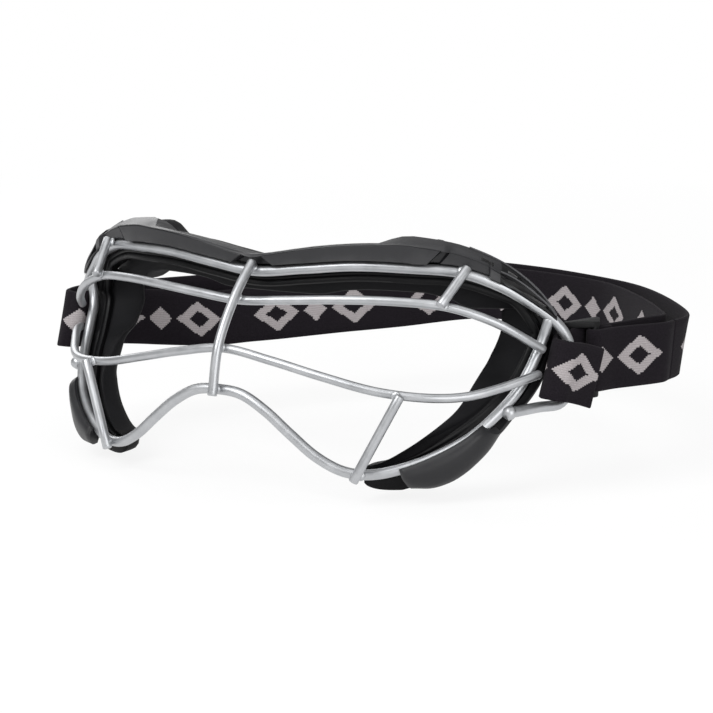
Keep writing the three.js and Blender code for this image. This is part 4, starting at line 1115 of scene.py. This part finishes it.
def floor_material():
    """A pale floor that reads white to the camera and in reflections, shadows near by apart."""
    n = Surface("floor_white")
    measure = n.new("VectorMath")
    measure.operation = "LENGTH"
    n.link(n.coords(), measure.inputs[0])
    share = n.range(measure.outputs["Value"], NEAR, FAR, WHITE_NEAR, WHITE_FAR)
    n.set(Base_Color=(0.9, 0.9, 0.9, 1.0), Roughness=0.9, Specular_IOR_Level=0.1)
    glow = n.new("Emission")
    glow.inputs["Strength"].default_value = 1.0
    path = n.new("LightPath")
    seen = n.math("MAXIMUM", path.outputs["Is Camera Ray"], path.outputs["Is Glossy Ray"])
    seen = n.math("MULTIPLY", n.math("MAXIMUM", seen, path.outputs["Is Transmission Ray"]), share)
    mixer = n.new("MixShader")
    for source, socket in zip((seen, n.shader.outputs[0], glow.outputs[0]), mixer.inputs):
        n.link(source, socket)
    n.link(mixer.outputs[0], n.out.inputs[0])
    return n.material


def stage():
    corners = [(x * FLOOR_REACH, y * FLOOR_REACH, FLOOR_LEVEL)
               for x, y in ((-1, -1), (1, -1), (1, 1), (-1, 1))]
    mesh = bpy.data.meshes.new("floor")
    mesh.from_pydata(corners, [], [(0, 1, 2, 3)])
    mesh.materials.append(floor_material())
    floor = placed("floor", mesh)
    world = bpy.data.worlds.new("world")
    bpy.context.scene.world = world
    world.use_nodes = True
    n = Nodes(world.node_tree)
    ground = n.tree.nodes["Background"]
    path = n.new("LightPath")
    seen = n.math("MAXIMUM", path.outputs["Is Camera Ray"], path.outputs["Is Transmission Ray"])
    n.fill(ground, Color=(1.0, 1.0, 1.0, 1.0), Strength=n.range(seen, 0.0, 1.0, ROOM_LIGHT))
    for name, place, size, power in LAMPS:
        data = bpy.data.lights.new(name, "AREA")
        data.size = size
        data.energy = power
        lamp = placed(name, data)
        lamp.location = place
        way = LAMP_TARGET - lamp.location
        lamp.rotation_euler = way.to_track_quat("-Z", "Y").to_euler()


stage()
bpy.context.scene.view_settings.view_transform = "Standard"

# Camera at the photograph's view. It aims past the visor's middle, to its own right and up.
AZIMUTH, ELEVATION, DISTANCE, LENS = math.radians(30.0), math.radians(10.63), 650.0, 109.95
VISOR_MIDDLE, AIM_RIGHT, AIM_UP = (0.0, -11.8 - BROW_DEPTH, -25.0), 36.35, -2.02
right = np.array([math.cos(AZIMUTH), math.sin(AZIMUTH), 0.0])
back = np.array([math.sin(AZIMUTH) * math.cos(ELEVATION),
                 -math.cos(AZIMUTH) * math.cos(ELEVATION), math.sin(ELEVATION)])
up = np.cross(back, right)
aim = np.array(VISOR_MIDDLE) + AIM_RIGHT * right + AIM_UP * up
camera_data = bpy.data.cameras.new("camera")
camera_data.lens = LENS
camera_data.clip_start, camera_data.clip_end = 0.01, 20.0
camera = placed("camera", camera_data)
axes = Matrix([list(row) for row in np.stack([right, up, back], 1)]).to_4x4()
camera.matrix_world = Matrix.Translation(Vector(MM * (aim + DISTANCE * back))) @ axes
bpy.context.scene.camera = camera
